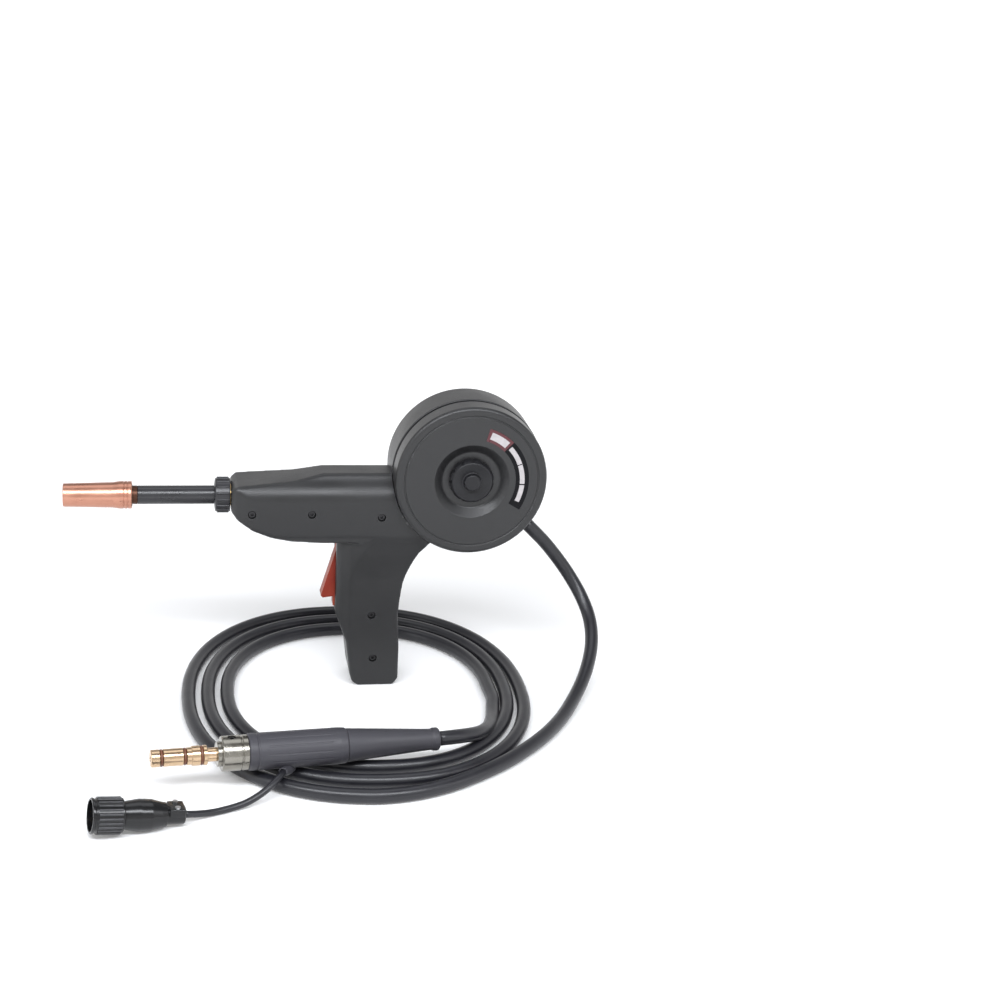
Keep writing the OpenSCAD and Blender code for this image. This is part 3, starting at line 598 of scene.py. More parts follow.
def turned(name, profile, place, material=None, sides=96, steps=4):
    """A shape turned about its local X and put in place: points are (along, radius, rounding)."""
    points = [Vector((p[0], p[1])) for p in profile]
    rounding = [p[2] if len(p) > 2 else 0 for p in profile]
    count = len(points)
    outline = []
    for i, corner in enumerate(points):
        on_axis = corner.y == 0
        following = points[(i + 1) % count]
        arc = [corner] if on_axis else arc_corner(points[i - 1], corner, following, rounding[i], steps)
        outline += arc
    shape = bmesh.new()
    rows = []
    for point in outline:
        if point.y < 1e-6:
            rows.append([shape.verts.new(place @ Vector((point.x, 0, 0)) * MM)] * sides)
            continue
        ring = [(point.y * cos(tau * k / sides), point.y * sin(tau * k / sides)) for k in range(sides)]
        rows.append([shape.verts.new(place @ Vector((point.x, y, z)) * MM) for y, z in ring])
    for i, row in enumerate(rows):
        following = rows[(i + 1) % len(rows)]
        if row[0] is row[1] and following[0] is following[1]:
            continue
        for k in range(sides):
            corners = [row[k], row[(k + 1) % sides], following[(k + 1) % sides], following[k]]
            shape.faces.new(list(dict.fromkeys(corners)))
    return from_bmesh(name, shape, material)


def geometry_tree(name, sizes):
    """A geometry tree with named sizes; gives it and the sockets that its inputs feed."""
    tree = bpy.data.node_groups.new(name, "GeometryNodeTree")
    sockets = {"Geometry": "Geometry", **sizes, "Material": "Material"}
    for socket_name, kind in sockets.items():
        tree.interface.new_socket(socket_name, in_out="INPUT", socket_type="NodeSocket" + kind)
    tree.interface.new_socket("Geometry", in_out="OUTPUT", socket_type="NodeSocketGeometry")
    return tree, tree.nodes.new("NodeGroupInput").outputs


def finish_tree(tree, given, result):
    """Ends a geometry tree in Realize Instances and Set Material."""
    realize = add_node(tree, "GeometryNodeRealizeInstances", {0: result})
    coat = {"Geometry": realize.outputs[0], "Material": given["Material"]}
    coated = add_node(tree, "GeometryNodeSetMaterial", coat)
    add_node(tree, "NodeGroupOutput", {0: coated.outputs[0]})
    return tree


def grown(name, tree, values, material, place=None, start=None):
    """A plain mesh grown by a geometry tree, then moved into place."""
    piece = linked(name, start or bpy.data.meshes.new(name))
    grower = piece.modifiers.new("grown", "NODES")
    grower.node_group = tree
    sockets = {s.name: s.identifier for s in tree.interface.items_tree if s.in_out == "INPUT"}
    for socket_name, value in {**values, "Material": material}.items():
        grower[sockets[socket_name]] = value
    bake(piece)
    if place is not None:
        for vertex in piece.data.vertices:
            vertex.co = place @ (vertex.co / MM) * MM
    if not piece.data.materials:
        piece.data.materials.append(material)
    return piece


def scatter_tree():
    """Sets one made piece on every point of the starting mesh."""
    tree, given = geometry_tree("screws_at_places", {"Screw": "Object"})
    made = add_node(tree, "GeometryNodeObjectInfo", {"Object": given["Screw"]}).outputs["Geometry"]
    spread = {"Points": given["Geometry"], "Instance": made}
    placed = add_node(tree, "GeometryNodeInstanceOnPoints", spread)
    return finish_tree(tree, given, placed.outputs[0])


SCATTER = scatter_tree()
black_oxide = surface(
    "black_oxide", (0.022, 0.022, 0.024), (0.045, 0.044, 0.046), (0.34, 0.48), 260, 4200, 0.015,
    metallic=0.7,
)
ALONG_Y = Matrix.Rotation(radians(90), 4, "Z")
one_screw = turned(
    "one_screw",
    [(0, 0), (0, SCREW_HEAD_R - 0.1, 0.9), (SCREW_HEAD_DEPTH, SCREW_HEAD_R - 0.1, 0.3),
     (SCREW_HEAD_DEPTH, SCREW_R, 0.3), (SCREW_LENGTH - 1.5, SCREW_R), (SCREW_LENGTH, 0.5),
     (SCREW_LENGTH, 0)],
    ALONG_Y, black_oxide, sides=40,
)
carve(one_screw, rod((0, -1, 0), (0, 1.6, 0), 1.5, 6))
screw_seats = [Vector((at[0], -half + 1.5, at[1])) * MM for at, half in screw_spots]
screw_places = bpy.data.meshes.new("screw_places")
screw_places.from_pydata(screw_seats, [], [])
housing_screws = grown("housing_screw_set", SCATTER, {"Screw": one_screw}, black_oxide, start=screw_places)
bpy.data.objects.remove(one_screw)
fit(crisp(housing_screws), "black_oxide", "housing_screws")

# ---- Gear motor and feed head ----
# A small can motor with a planetary gearhead stands in the grip. Its pinion turns the gear of
# an upright shaft in a cast plate, whose grooved roll drives the wire against a sprung idler.


def dress(names, material):
    """Gives carried-over parts their finish."""
    for node_name in names:
        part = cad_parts[node_name]
        part.data.materials.clear()
        part.data.materials.append(material)


def spring_tree():
    """A coil spring of round wire that climbs its local Z."""
    sizes = ("Turns", "Coil radius", "Wire radius", "Length")
    tree, given = geometry_tree("coil_spring", {size_name: "Float" for size_name in sizes})
    coil = {"Resolution": 28, "Rotations": given["Turns"], "Height": given["Length"]}
    coil |= {"Start Radius": given["Coil radius"], "End Radius": given["Coil radius"]}
    helix = add_node(tree, "GeometryNodeCurveSpiral", coil)
    section = {"Resolution": 10, "Radius": given["Wire radius"]}
    wire = add_node(tree, "GeometryNodeCurvePrimitiveCircle", section)
    skin = {"Curve": helix.outputs[0], "Profile Curve": wire.outputs[0], "Fill Caps": True}
    return finish_tree(tree, given, add_node(tree, "GeometryNodeCurveToMesh", skin).outputs[0])


SPRING = spring_tree()


def spring(node_name, turns, coil_r, wire_r, length, place):
    """A spring of round wire that stands for a CAD node."""
    sizes = {"Turns": turns, "Coil radius": coil_r * MM, "Wire radius": wire_r * MM, "Length": length * MM}
    coil = grown(node_name + "_coil", SPRING, sizes, spring_steel, place)
    fit(crisp(coil), "spring_steel", node_name)


ON_ARM_PIVOT = Matrix.Translation((-27, 15, 146.5))
ON_WIRE = Matrix.Translation((0, 0, WIRE_Z))
DRIVE_AT, IDLER_AT = (-8.822, -9.5), (-8.822, 8.5)

motor_steel = surface(
    "motor_steel", (0.20, 0.20, 0.21), (0.30, 0.30, 0.31), (0.30, 0.42), 60, 3000, 0.01, metallic=1,
)
bright_steel = surface(
    "bright_steel", (0.46, 0.46, 0.47), (0.60, 0.60, 0.61), (0.20, 0.32), 160, 5000, 0.008,
    metallic=1,
)
spring_steel = surface(
    "spring_steel", (0.30, 0.30, 0.31), (0.42, 0.42, 0.43), (0.24, 0.36), 240, 5000, 0.006,
    metallic=1,
)
cast_aluminium = surface(
    "cast_aluminium", (0.42, 0.42, 0.43), (0.56, 0.56, 0.57), (0.42, 0.58), 90, 2400, 0.05,
    metallic=1,
)
turned_brass = surface(
    "turned_brass", (0.62, 0.42, 0.18), (0.76, 0.55, 0.27), (0.22, 0.34), 120, 4000, 0.008,
    metallic=1,
)
switch_plastic = surface(
    "switch_plastic", (0.012, 0.012, 0.013), (0.022, 0.022, 0.024), (0.36, 0.5), 70, 2400, 0.02,
)
dress(["motor_can", "gearhead"], motor_steel)
dress(["motor_end_cap"], switch_plastic)
dress(["motor_pinion", "drive_shaft", "arm_pin", "idler_pin"], bright_steel)
dress(["feed_plate", "pressure_arm"], cast_aluminium)
dress(["shaft_bushes", "drive_gear", "wire_guides"], turned_brass)
dress(["roll_screw"], black_oxide)


def upright_place(at):
    """Lays local X upright on the wire line's level, at a place in plan."""
    return Matrix.Translation((*at, WIRE_Z)) @ Matrix.Rotation(radians(-90), 4, "Y")


drive_roll = turned(
    "drive_roll_grooved",
    [(-4, 3, 0.2), (-4, 9, 0.5), (-0.45, 9), (0, 8.5), (0.45, 9), (4, 9, 0.5), (4, 3, 0.2)],
    upright_place(DRIVE_AT), bright_steel, sides=120,
)
fit(crisp(drive_roll), "bright_steel", "drive_roll", body="feed_shaft")
idler_roll = turned(
    "idler_roll_plain",
    [(-3.7, 2.05, 0.2), (-3.7, 5, 0.2), (-3.2, 5.4, 0.2), (-3.7, 5.8, 0.2), (-3.7, 8, 0.5),
     (3.7, 8, 0.5), (3.7, 2.05, 0.2)],
    upright_place(IDLER_AT), bright_steel, sides=96,
)
fit(crisp(idler_roll), "bright_steel", "idler_roll", body="idler")
spring("pressure_spring", 7.0, 3.5, 0.45, 8.2, ON_ARM_PIVOT)

# ---- Trigger and switch ----
# A red nylon trigger swings on a steel pin in the front of the grip. A torsion spring returns
# it, and its heel presses the plunger of a snap switch.

TRIGGER_SIDE = [
    (-31, 120.5), (-44.3, 74.2), (-42.6, 72.5), (-34.4, 73.6), (-34.4, 65.5), (-29.6, 65.5),
    (-28, 98), (-22.3, 102), (-22.3, 108), (-22.8, 111), (-22.8, 120.5),
]
TRIGGER_BEVEL, PIN_HOLE_R, SPRING_POCKET_R, SPRING_POCKET_HALF = 0.9, 2.05, 3.1, 2.3
trigger_red = surface(
    "trigger_red", (0.125, 0.0095, 0.004), (0.185, 0.016, 0.007), (0.38, 0.52), 60, 2000, 0.03,
    specular=0.25, worn=(0.28, 0.05, 0.025), wear_start=0.53,
)
trigger = prism("trigger_lever", TRIGGER_SIDE, "Y", -TRIGGER_WIDTH / 2, TRIGGER_WIDTH / 2, trigger_red)
carve(trigger, across(PIVOT, -8, 8, PIN_HOLE_R))
carve(trigger, across(PIVOT, -SPRING_POCKET_HALF, SPRING_POCKET_HALF, SPRING_POCKET_R))
modify(trigger, "BEVEL", width=TRIGGER_BEVEL * MM, segments=3, angle_limit=radians(35))
bake(trigger)
fit(crisp(trigger), "trigger_red", "trigger", body="trigger")
dress(["trigger_pin"], bright_steel)
dress(["microswitch"], switch_plastic)
dress(["switch_plunger"], trigger_red)
ON_TRIGGER_PIN = Matrix.Translation((PIVOT[0], 1.6, PIVOT[1])) @ Matrix.Rotation(radians(90), 4, "X")
spring("trigger_spring", 5.0, 2.42, 0.33, 3.2, ON_TRIGGER_PIN)

# ---- Power block ----
# A brass block on a fibre pad joins the cable's core to the gun tube, clear of the drive. The
# steel liner guides the wire through it.

pad_fibre = surface("pad_fibre", (0.30, 0.25, 0.16), (0.40, 0.34, 0.23), (0.6, 0.75), 140, 1800, 0.05)
core_copper = surface(
    "core_copper", (0.55, 0.26, 0.15), (0.72, 0.36, 0.22), (0.30, 0.42), 150, 3000, 0.02, metallic=1,
)
dress(["insulating_pad"], pad_fibre)
dress(["power_block", "tube_adaptor"], turned_brass)
dress(["power_lead"], cable_rubber)
dress(["conductor_tube"], core_copper)
dress(["wire_liner"], spring_steel)

# ---- Gun tube ----
# The copper conductor tube in a black insulating jacket, held in the body by a ribbed nut. At
# its end are the diffuser, the contact tip and the slip-on copper nozzle.

TURN_ON_X = (0.0, 0.0, 0.0)
NUT_RIBS = 16


def bars_tree():
    """Round bars about local Z, evenly spaced on a ring."""
    sizes = {"Count": "Int", "Ring radius": "Float", "Bar radius": "Float", "Bar length": "Float"}
    tree, given = geometry_tree("bars_on_ring", sizes)
    ring = {"Vertices": given["Count"], "Radius": given["Ring radius"]}
    seats = add_node(tree, "GeometryNodeMeshCircle", ring).outputs[0]
    bar = {"Vertices": 16, "Radius": given["Bar radius"], "Depth": given["Bar length"]}
    made = add_node(tree, "GeometryNodeMeshCylinder", bar).outputs["Mesh"]
    placed = add_node(tree, "GeometryNodeInstanceOnPoints", {"Points": seats, "Instance": made})
    return finish_tree(tree, given, placed.outputs[0])


BARS = bars_tree()
Z_ON_X = Matrix.Rotation(radians(90), 4, "Y")


def bars(name, count, ring_radius, bar_radius, start, end, place, material):
    """Bars along the local X of a place, between two distances along it."""
    sizes = {
        "Count": count,
        "Ring radius": ring_radius * MM,
        "Bar radius": bar_radius * MM,
        "Bar length": (end - start) * MM,
    }
    middle = Matrix.Translation(((start + end) / 2, 0, 0))
    return grown(name, BARS, sizes, material, place @ middle @ Z_ON_X)


tube_black = surface(
    "tube_black", (0.010, 0.010, 0.012), (0.018, 0.018, 0.021), (0.24, 0.34), 60, 2600, 0.015,
)
nozzle_copper = surface(
    "nozzle_copper", (0.42, 0.195, 0.135), (0.56, 0.285, 0.205), (0.24, 0.36), 75, 2600, 0.012,
    metallic=1, rings=(TURN_ON_X, 0.0007, 1.2),
)
tip_copper = surface(
    "tip_copper", (0.48, 0.20, 0.12), (0.66, 0.32, 0.20), (0.30, 0.45), 200, 3000, 0.01, metallic=1,
)
diffuser_bronze = surface(
    "diffuser_bronze", (0.055, 0.026, 0.018), (0.10, 0.05, 0.034), (0.34, 0.48), 160, 3000, 0.015,
    metallic=1,
)
mica_brown = surface("mica_brown", (0.07, 0.035, 0.02), (0.13, 0.07, 0.04), (0.5, 0.65), 180, 2600, 0.03)
tube_nut = turned(
    "tube_nut_ribbed",
    [(-129.8, 7.4, 0.3), (-129.8, 9.2, 0.4), (-129.0, 13.4, 1.2), (-117.4, 13.4, 0.8),
     (-117.4, 8.6, 0.3), (-121, 8.6), (-121, 7.4)],
    ON_WIRE, tube_black,
)
carve(tube_nut, bars("nut_ribs", NUT_RIBS, 13.2, 1.0, -127.6, -118.6, ON_WIRE, tube_black), "UNION")
fit(crisp(tube_nut), "tube_black", "tube_nut")
tube_jacket = turned(
    "tube_jacket_sleeve",
    [(-189, 4.6, 0.2), (-189, 7.3, 0.7), (-121, 7.3, 0.2), (-121, 4.6)],
    ON_WIRE, tube_black,
)
fit(crisp(tube_jacket), "tube_black", "tube_jacket")
nozzle = turned(
    "nozzle_cup",
    [(-245.7, 7.9, 0.3), (-245.7, 9.1, 0.5), (-207.7, 10.0, 3.0), (-202.7, 10.8, 2.0),
     (-199.8, 10.8, 0.15), (-199.5, 10.5, 0.1), (-199.1, 10.5, 0.1), (-198.8, 10.8, 0.15),
     (-197.0, 10.8, 0.15), (-196.7, 10.5, 0.1), (-196.3, 10.5, 0.1), (-196.0, 10.8, 0.15),
     (-193.2, 10.8, 0.6), (-193.2, 9.05, 0.2), (-206, 9.05), (-208, 7.9, 0.6)],
    ON_WIRE, nozzle_copper, sides=128,
)
fit(crisp(nozzle), "nozzle_copper", "nozzle")
contact_tip = turned(
    "contact_tip_turned",
    [(-242.5, 0.55), (-242.5, 2.3, 0.3), (-240.6, 3.4, 0.5), (-212.2, 3.4, 0.2), (-212.2, 3.0),
     (-206, 3.0, 0.2), (-206, 0.55)],
    ON_WIRE, tip_copper, sides=48,
)
fit(crisp(contact_tip), "nozzle_copper", "contact_tip")
dress(["gas_diffuser"], diffuser_bronze)
dress(["nozzle_insulator"], mica_brown)

# ---- Spool case ----
# A round nylon drum, open towards the cover, screwed to the saddle of the body from inside. A
# spigot round its mouth takes the cover.

WIRE_HOLE_R = 3
ON_SPOOL = Matrix.Translation((SPOOL_X, 0, SPOOL_Z)) @ Matrix.Rotation(radians(-90), 4, "Z")
cover_nylon = surface(
    "cover_nylon", (0.0105, 0.0105, 0.011), (0.0165, 0.0165, 0.0175), (0.32, 0.42), 22, 1900, 0.035,
    specular=0.45, worn=(0.08, 0.08, 0.085), wear_start=0.53,
)
spool_case = turned(
    "spool_case_drum",
    [(-25, 0), (-25, 17.5, 0.4), (-24, 18.5, 0.4), (-24, 46.5, 0.4), (-25, 47.5, 0.4),
     (-25, 61, 5.0), (11, 61, 0.9), (11, 58.5, 0.3), (17.5, 58.5, 0.6), (17.5, 56.2, 0.5),
     (-22.5, 56.2, 4.0), (-22.5, 0)],
    ON_SPOOL, body_nylon, sides=192, steps=6,
)
carve(spool_case, rod((5, 0, WIRE_Z), (40, 0, WIRE_Z), WIRE_HOLE_R))
fit(crisp(spool_case), "body_plastic", "spool_case")
dress(["case_screws"], black_oxide)

# ---- Spindle and brake ----
# A steel stud through the case carries the nylon hub that a wire spool slips on. A fibre washer,
# a spring, a washer and a nut hold the hub with a light drag.

hub_nylon = surface(
    "hub_nylon", (0.020, 0.020, 0.022), (0.032, 0.032, 0.034), (0.34, 0.46), 60, 2200, 0.02,
)
brake_fibre = surface(
    "brake_fibre", (0.10, 0.085, 0.07), (0.17, 0.15, 0.12), (0.7, 0.85), 260, 1600, 0.08,
)
spool_hub = turned(
    "spool_hub_sleeve",
    [(-21, 3.1, 0.2), (-21, 16, 0.7), (-18.5, 16, 0.5), (-18.5, 7.95, 0.6), (12, 7.95, 1.2),
     (12, 3.1, 0.2)],
    ON_SPOOL, hub_nylon,
)
fit(crisp(spool_hub), "hub_nylon", "spool_hub", body="hub")
dress(["spindle_stud", "spring_washer", "spindle_nut"], bright_steel)
dress(["brake_washer"], brake_fibre)
ON_BRAKE = Matrix.Translation((SPOOL_X, -12.7, SPOOL_Z)) @ Matrix.Rotation(radians(90), 4, "X")
spring("brake_spring", 4.0, 4.4, 0.6, 4.2, ON_BRAKE)

# ---- Spool cover ----
# A round nylon lid with a rolled lip and a dished middle, pushed over the case's spigot. An
# arc-shaped printed label, here plain bands of colour, is let into its face.

LABEL_LIFT = 0.14
LABEL_DEPTH = 0.25
COVER_FACE = 33.5
LABEL_BANDS = [
    (-31, 72, 35.0, 45.5, 0.0, 0),
    (45.5, 74, 34.9, 45.3, 0.02, 1),
    (48.5, 70.5, 37.2, 43.0, 0.04, 2),
    (21, 43.5, 38.2, 42.0, 0.04, 2),
    (-2.5, 20, 38.2, 42.0, 0.04, 2),
    (-24, -4, 38.2, 42.0, 0.04, 2),
]
spool_cover = turned(
    "spool_cover_lid",
    [(27.5, 3.4, 0.3), (27.5, 23, 3.5), (33.5, 30, 1.6), (33.5, 52.5, 0.3), (33.0, 53.0, 0.3),
     (33.0, 53.6, 0.3), (33.5, 54.1, 0.3), (33.5, 60.5, 6.2), (14.5, 60.5, 1.2), (14.5, 58.8, 0.4),
     (18, 58.8, 0.3), (18, 58, 0.3), (31, 58, 6.0), (31, 31.5, 1.0), (25, 24.5, 1.0), (25, 3.4, 0.3)],
    ON_SPOOL, cover_nylon, sides=192, steps=6,
)
fit(crisp(spool_cover), "cover_plastic", "spool_cover", body="cover")
label_finishes = [
    surface(
        "label_black", (0.002, 0.002, 0.003), (0.004, 0.004, 0.005), (0.26, 0.34), 60, 3000, 0.005,
        specular=0.12,
    ),
    surface("label_red", (0.045, 0.005, 0.009), (0.08, 0.009, 0.014), (0.26, 0.34), 90, 3000, 0.005),
    surface("label_pale", (0.27, 0.255, 0.26), (0.42, 0.395, 0.40), (0.30, 0.40), 300, 3000, 0.005),
]
label_shape = bmesh.new()
for start_angle, end_angle, inner_r, outer_r, lift, finish_index in LABEL_BANDS:
    steps = max(4, round((end_angle - start_angle) / 2))
    front = -COVER_FACE - LABEL_LIFT - lift
    back = front + LABEL_DEPTH
    section = ((inner_r, back), (outer_r, back), (outer_r, front), (inner_r, front))
    rows = []
    for i in range(steps + 1):
        angle = radians(start_angle + (end_angle - start_angle) * i / steps)
        spots = [(SPOOL_X + r * cos(angle), y, SPOOL_Z + r * sin(angle)) for r, y in section]
        rows.append([label_shape.verts.new(Vector(spot) * MM) for spot in spots])
    made_faces = [label_shape.faces.new(rows[0]), label_shape.faces.new(rows[-1])]
    for row, following in zip(rows, rows[1:]):
        for k in range(4):
            m = (k + 1) % 4
            made_faces.append(label_shape.faces.new((row[k], row[m], following[m], following[k])))
    for face in made_faces:
        face.material_index = finish_index
cover_label = from_bmesh("cover_label", label_shape, label_finishes[0])
for finish in label_finishes[1:]:
    cover_label.data.materials.append(finish)
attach(crisp(cover_label), "cover")

# ---- Cover knob ----
# A dished black knob with a scalloped rim and a raised boss, moulded round a brass insert that
# screws on the stud's end and holds the cover on.

SCALLOPS = 12
knob_plastic = surface(
    "knob_plastic", (0.006, 0.006, 0.007), (0.010, 0.010, 0.012), (0.30, 0.42), 70, 2200, 0.02,
    specular=0.3,
)
cover_knob = turned(
    "cover_knob_dished",
    [(27.7, 0), (27.7, 17.5, 0.5), (32.8, 17.5, 1.2), (35.6, 15.4, 1.4), (34.2, 10.5, 3.0),
     (33.4, 7, 1.0), (37.5, 6.5, 1.4), (38, 0)],
    ON_SPOOL, knob_plastic, sides=144, steps=6,
)
carve(cover_knob, bars("scallops", SCALLOPS, 18.7, 2.2, 26, 40, ON_SPOOL, knob_plastic))
carve(cover_knob, across((SPOOL_X, SPOOL_Z), -35.5, -26, 4.5))
fit(crisp(cover_knob, 40.0), "knob_plastic", "cover_knob", body="knob")
dress(["knob_insert"], turned_brass)

# ---- Cable duct, gland and boot ----
# A moulded duct behind the case leads the cable down from the body. A ribbed gland nut clamps
# the jacket and a tapered rubber boot eases its bend.

DUCT_LOW, DUCT_HIGH = (8, 138), (94.6, 155.4)
DUCT_R, DUCT_Y = 11, (25, 50)
GLAND_Y = 38
BOOT_START, BOOT_END, BOOT_GROOVES = 25, 50, 4
ON_GLAND = Matrix.Translation((DUCT_HIGH[0], GLAND_Y, DUCT_HIGH[1])) @ Matrix.Rotation(radians(45), 4, "Y")


def rounded_bar(low, high, radius, y0, y1, material=None):
    """A round-ended bar between two side places, drawn out along Y."""
    lean = atan2(high[1] - low[1], high[0] - low[0])
    outline = []
    for centre, first in ((high, lean - pi / 2), (low, lean + pi / 2)):
        for step in range(25):
            angle = first + pi * step / 24
            outline.append((centre[0] + radius * cos(angle), centre[1] + radius * sin(angle)))
    return prism("duct_bar", outline, "Y", y0, y1, material)


duct = rounded_bar(DUCT_LOW, DUCT_HIGH, DUCT_R, *DUCT_Y, body_nylon)
duct.name = "cable_duct_cover"
modify(duct, "BEVEL", width=2.6 * MM, segments=5, angle_limit=radians(60))
bake(duct)
outlet = turned("outlet", [(0, 0), (0, 10), (19, 10, 0.8), (19, 0)], ON_GLAND, body_nylon)
carve(duct, outlet, "UNION")
carve(duct, rounded_bar(DUCT_LOW, DUCT_HIGH, DUCT_R - WALL, DUCT_Y[0] - 1, DUCT_Y[1] - WALL))
carve(duct, turned("outlet_bore", [(0, 0), (0, 5.6), (22, 5.6), (22, 0)], ON_GLAND))
fit(crisp(duct), "body_plastic", "cable_duct")
gland = turned(
    "cable_gland_nut",
    [(19.1, 5.6, 0.2), (19.1, 9.4, 0.6), (23.9, 9.4, 0.8), (25, 8.4, 0.4), (25, 5.6, 0.2)],
    ON_GLAND, switch_plastic,
)
carve(gland, bars("gland_ribs", 18, 9.3, 0.6, 19.8, 23.2, ON_GLAND, switch_plastic), "UNION")
fit(crisp(gland), "switch_plastic", "cable_gland")
boot_rubber = surface(
    "boot_rubber", (0.022, 0.021, 0.026), (0.034, 0.033, 0.041), (0.44, 0.58), 45, 1500, 0.04,
    worn=(0.065, 0.063, 0.072), wear_start=0.55,
)
boot_profile = [(BOOT_START, 5.6), (BOOT_START, 8.6, 0.8)]
for groove in range(BOOT_GROOVES):
    at = BOOT_START + 4 + groove * 5
    outer = 8.5 - (at - BOOT_START) * 0.07
    boot_profile += [(at, outer, 0.4), (at + 0.4, outer - 1, 0.3), (at + 1.8, outer - 1, 0.3),
                     (at + 2.2, outer - 0.15, 0.4)]
boot_profile += [(BOOT_END, 6.5, 0.6), (BOOT_END, 5.6)]
cable_boot = turned("cable_boot_tapered", boot_profile, ON_GLAND, boot_rubber)
fit(crisp(cable_boot, 50.0), "boot_rubber", "cable_boot")

# ---- Gun plug ----
# The cable's machine end: a tapered rubber boot and handle, a plated clamp block with its set
# screw, and a turned brass plug with sealing rings that carries current, wire and gas.

ON_PLUG = (
    Matrix.Translation((32, -163, 22.4))
    @ Matrix.Rotation(radians(188.6), 4, "Z")
    @ Matrix.Rotation(radians(-1.8), 4, "Y")
)
TURN_ON_PLUG = tuple(ON_PLUG.to_3x3().inverted().to_euler())
TAPER_END, HANDLE_END, BLOCK_END = 71, 144, 163
connector_boot = turned(
    "connector_boot_taper",
    [(0, 0), (0, 8.6, 1.8), (4.6, 8.6, 1.4), (6.2, 7.9, 1.2), (12, 8.2, 2), (40, 10.2, 12),
     (64, 11.9, 6), (70, 12.3, 0.5), (TAPER_END, 12.3, 0.4), (TAPER_END, 0)],
    ON_PLUG, boot_rubber,
)
fit(crisp(connector_boot, 50.0), "boot_rubber", "connector_boot")
handle_rubber = surface(
    "handle_rubber", (0.026, 0.025, 0.031), (0.038, 0.037, 0.046), (0.42, 0.55), 35, 1400, 0.05,
    worn=(0.07, 0.068, 0.078), wear_start=0.54,
)
connector_handle = turned(
    "connector_handle_grip",
    [(TAPER_END, 0), (TAPER_END, 13.0, 1.5), (TAPER_END + 6, 13.5, 2), (HANDLE_END - 8, 13.5, 0.4),
     (HANDLE_END - 7.4, 13.1, 0.3), (HANDLE_END - 6.6, 13.1, 0.3), (HANDLE_END - 6, 13.5, 0.4),
     (HANDLE_END, 13.5, 1.4), (HANDLE_END, 0)],
    ON_PLUG, handle_rubber, sides=128,
)
flutes = bars("flutes", 14, 14.6, 1.35, TAPER_END + 12, HANDLE_END - 14, ON_PLUG, handle_rubber)
carve(connector_handle, flutes)
fit(crisp(connector_handle, 40.0), "boot_rubber", "connector_handle")
plug_nickel = surface(
    "plug_nickel", (0.20, 0.19, 0.165), (0.32, 0.305, 0.27), (0.16, 0.28), 110, 3600, 0.008,
    metallic=1, rings=(TURN_ON_PLUG, 0.0009, 0.8),
)
plug_block = turned(
    "plug_clamp_block",
    [(HANDLE_END, 0), (HANDLE_END, 12.8, 0.5), (HANDLE_END + 3.6, 12.8, 0.3),
     (HANDLE_END + 4.1, 12.2, 0.2), (HANDLE_END + 4.9, 12.2, 0.2), (HANDLE_END + 5.4, 12.8, 0.3),
     (BLOCK_END, 12.8, 1.2), (BLOCK_END, 9, 0.2), (BLOCK_END + 3, 9, 0.7), (BLOCK_END + 3, 0)],
    ON_PLUG, plug_nickel, sides=128,
)
screw_spot = ON_PLUG @ Vector((155.5, 0, 0))
screw_up = ON_PLUG.to_3x3().col[2].normalized()
carve(plug_block, rod(screw_spot + screw_up * 6, screw_spot + screw_up * 16, 3.0))
fit(crisp(plug_block), "plug_nickel", "plug_block")
clamp_screw = rod(screw_spot + screw_up * 5.8, screw_spot + screw_up * 11.4, 2.9, 40, black_oxide)
clamp_screw.name = "plug_set_screw"
carve(clamp_screw, rod(screw_spot + screw_up * 8.5, screw_spot + screw_up * 13, 1.5, 6))
fit(crisp(clamp_screw), "black_oxide")
plug_brass = surface(
    "plug_brass", (0.50, 0.35, 0.215), (0.66, 0.49, 0.33), (0.18, 0.30), 95, 3600, 0.008, metallic=1,
    rings=(TURN_ON_PLUG, 0.0008, 0.9),
)
gun_plug = turned(
    "gun_plug_turned",
    [(166, 0), (166, 5, 0.2), (173, 5, 0.3), (173, 7.2, 0.5), (175.6, 7.2, 0.3), (176, 6.4, 0.2),
     (177.8, 6.4, 0.2), (178.2, 7.2, 0.3), (184, 7.2, 0.6), (184, 6.35, 0.3), (187.4, 6.35, 0.2),
     (187.8, 5.3, 0.2), (189.8, 5.3, 0.2), (190.2, 6.35, 0.2), (204, 6.35, 0.2), (204.4, 5.3, 0.2),
     (206.4, 5.3, 0.2), (206.8, 6.35, 0.2), (213, 6.35, 1.1), (213, 2, 0.4), (185, 2), (185, 0)],
    ON_PLUG, plug_brass, sides=112,
)
fit(crisp(gun_plug), "turned_brass", "gun_plug")
seal_rubber = surface(
    "seal_rubber", (0.10, 0.035, 0.018), (0.16, 0.06, 0.03), (0.32, 0.42), 200, 2600, 0.01,
)
SEALS = [(176.9, 6.3, 0.85), (188.8, 5.45, 0.95), (205.4, 5.45, 0.95)]
SEAL_STEPS, SEAL_SIDES = 72, 12
seal_shape = bmesh.new()
for along, ring_r, thick in SEALS:
    rows = []
    for k in range(SEAL_STEPS):
        turn = tau * k / SEAL_STEPS
        rows.append([])
        for m in range(SEAL_SIDES):
            round_angle = tau * m / SEAL_SIDES
            reach = ring_r + thick * cos(round_angle)
            spot = Vector((along + thick * sin(round_angle), reach * cos(turn), reach * sin(turn)))
            rows[-1].append(seal_shape.verts.new((ON_PLUG @ spot) * MM))
    for here, there in zip(rows, rows[1:] + rows[:1]):
        for m in range(SEAL_SIDES):
            beside = (m + 1) % SEAL_SIDES
            seal_shape.faces.new((here[m], here[beside], there[beside], there[m]))
plug_seals = from_bmesh("plug_seals", seal_shape, seal_rubber)
fit(plug_seals, "boot_rubber")

# ---- Lead grommet ----
# The small rubber sleeve that the control lead leaves the handle through.

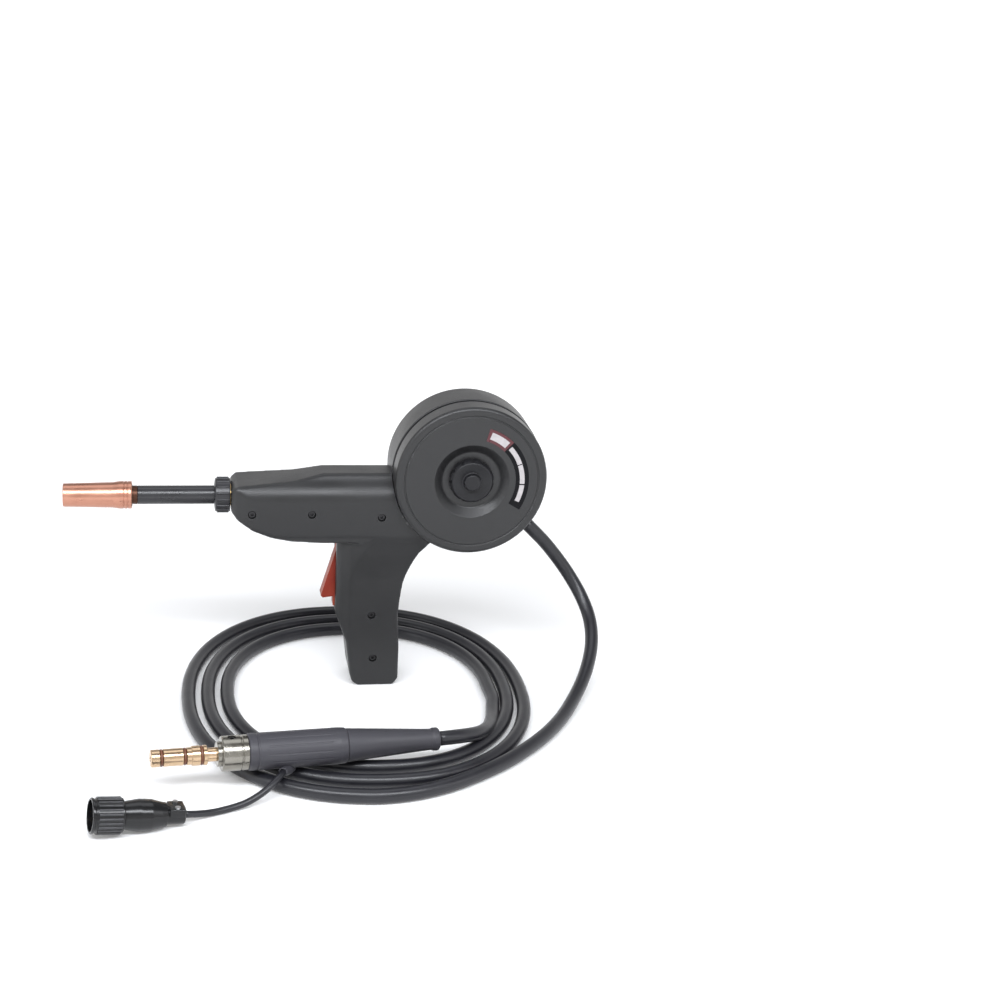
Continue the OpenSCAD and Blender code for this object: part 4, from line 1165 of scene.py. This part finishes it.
lead_way = (lead_path[2] - lead_path[0]).normalized()
ON_GROMMET = Matrix.Translation(lead_path[0] / MM) @ lead_way.to_track_quat("X", "Z").to_matrix().to_4x4()
lead_grommet = turned(
    "lead_grommet",
    [(-5, 2.6), (-5, 4.6, 0.3), (1.5, 4.6, 1.0), (9, 3.3, 0.4), (9, 2.6)],
    ON_GROMMET, boot_rubber, sides=48,
)
fit(crisp(lead_grommet), "boot_rubber")

# ---- Control plug ----
# A glossy black four-pin circular plug: a cord clamp with two screws, a waisted body and a
# ribbed coupling ring that turns freely on it.

ON_CONTROL = (
    Matrix.Translation((-155, -237, 7.4))
    @ Matrix.Rotation(radians(191.5), 4, "Z")
    @ Matrix.Rotation(radians(-7.5), 4, "Y")
)
CLAMP_LENGTH, RING_START, RING_END = 13, 43, 65
gloss_black = surface(
    "gloss_black", (0.004, 0.004, 0.0045), (0.009, 0.009, 0.010), (0.15, 0.26), 60, 2600, 0.012,
    specular=0.42, worn=(0.05, 0.05, 0.055), wear_start=0.56,
)
control_plug = turned(
    "control_plug_body",
    [(0, 0), (0, 6.6, 1.2), (CLAMP_LENGTH, 6.8, 0.6), (CLAMP_LENGTH, 8.4, 0.6), (17, 9.2, 1.5),
     (24, 11, 4.0), (32, 11.3, 4.0), (38, 10.4, 3.0), (42.6, 9.6, 0.6), (42.6, 9.0, 0.2),
     (50, 9, 0.5), (50, 0)],
    ON_CONTROL, gloss_black, sides=112, steps=6,
)


def clamp_bar(low, high, roundness):
    """A rounded block in the control plug's own frame."""
    shape = bmesh.new()
    bmesh.ops.create_cube(shape, size=1)
    middle = (Vector(low) + Vector(high)) / 2
    extent = Vector(high) - Vector(low)
    for vertex in shape.verts:
        vertex.co = Vector(a * b for a, b in zip(vertex.co, extent)) + middle
    edges = list(shape.edges)
    bmesh.ops.bevel(shape, geom=edges, offset=roundness, segments=3, profile=0.5, affect="EDGES")
    for vertex in shape.verts:
        vertex.co = (ON_CONTROL @ vertex.co) * MM
    return from_bmesh("clamp_bar", shape, gloss_black)


carve(control_plug, clamp_bar((0.6, -7.2, 1.0), (12.0, 7.2, 7.0), 1.0), "UNION")
carve(control_plug, turned("socket_recess", [(47.5, 0), (47.5, 7.9), (51, 7.9), (51, 0)], ON_CONTROL))
fit(crisp(control_plug), "gloss_black", "control_plug")
zinc_plate = surface(
    "zinc_plate", (0.34, 0.34, 0.35), (0.50, 0.50, 0.51), (0.28, 0.42), 220, 5000, 0.01, metallic=1,
)
plug_turn = ON_CONTROL.to_3x3()
plug_along, plug_up = plug_turn.col[0].normalized(), plug_turn.col[2].normalized()
clamp_screws = None
for side_y in (-4.6, 4.6):
    foot = ON_CONTROL @ Vector((CLAMP_LENGTH / 2, side_y, 6))
    top = foot + plug_up * 2.2
    head = rod(foot, top, 1.9, 32, zinc_plate)
    carve(head, rod(top - plug_along * 3, top + plug_along * 3, 0.45, 8))
    clamp_screws = carve(clamp_screws, head, "UNION") if clamp_screws else head
clamp_screws.name = "control_clamp_screws"
fit(crisp(clamp_screws), "bright_steel")
contact_pins = bars("control_contact_pins", 4, 4.5, 1.1, 44, 60, ON_CONTROL, turned_brass)
fit(crisp(contact_pins), "turned_brass")
coupling_ring = turned(
    "coupling_ring_ribbed",
    [(RING_START, 9.15, 0.2), (RING_START, 12.1, 0.8), (RING_END - 3.4, 12.1, 0.3),
     (RING_END - 3, 11.7, 0.2), (RING_END - 2.2, 11.7, 0.2), (RING_END - 1.8, 12.4, 0.3),
     (RING_END, 12.4, 0.7), (RING_END, 10.8, 0.4), (51, 10.8, 0.2), (51, 9.15, 0.2)],
    ON_CONTROL, gloss_black, sides=120,
)
ring_ribs = bars("ring_ribs", 24, 12.0, 0.95, RING_START + 1.6, RING_END - 4.2, ON_CONTROL, gloss_black)
carve(coupling_ring, ring_ribs, "UNION")
fit(crisp(coupling_ring), "gloss_black", "coupling_ring", body="coupling_ring")
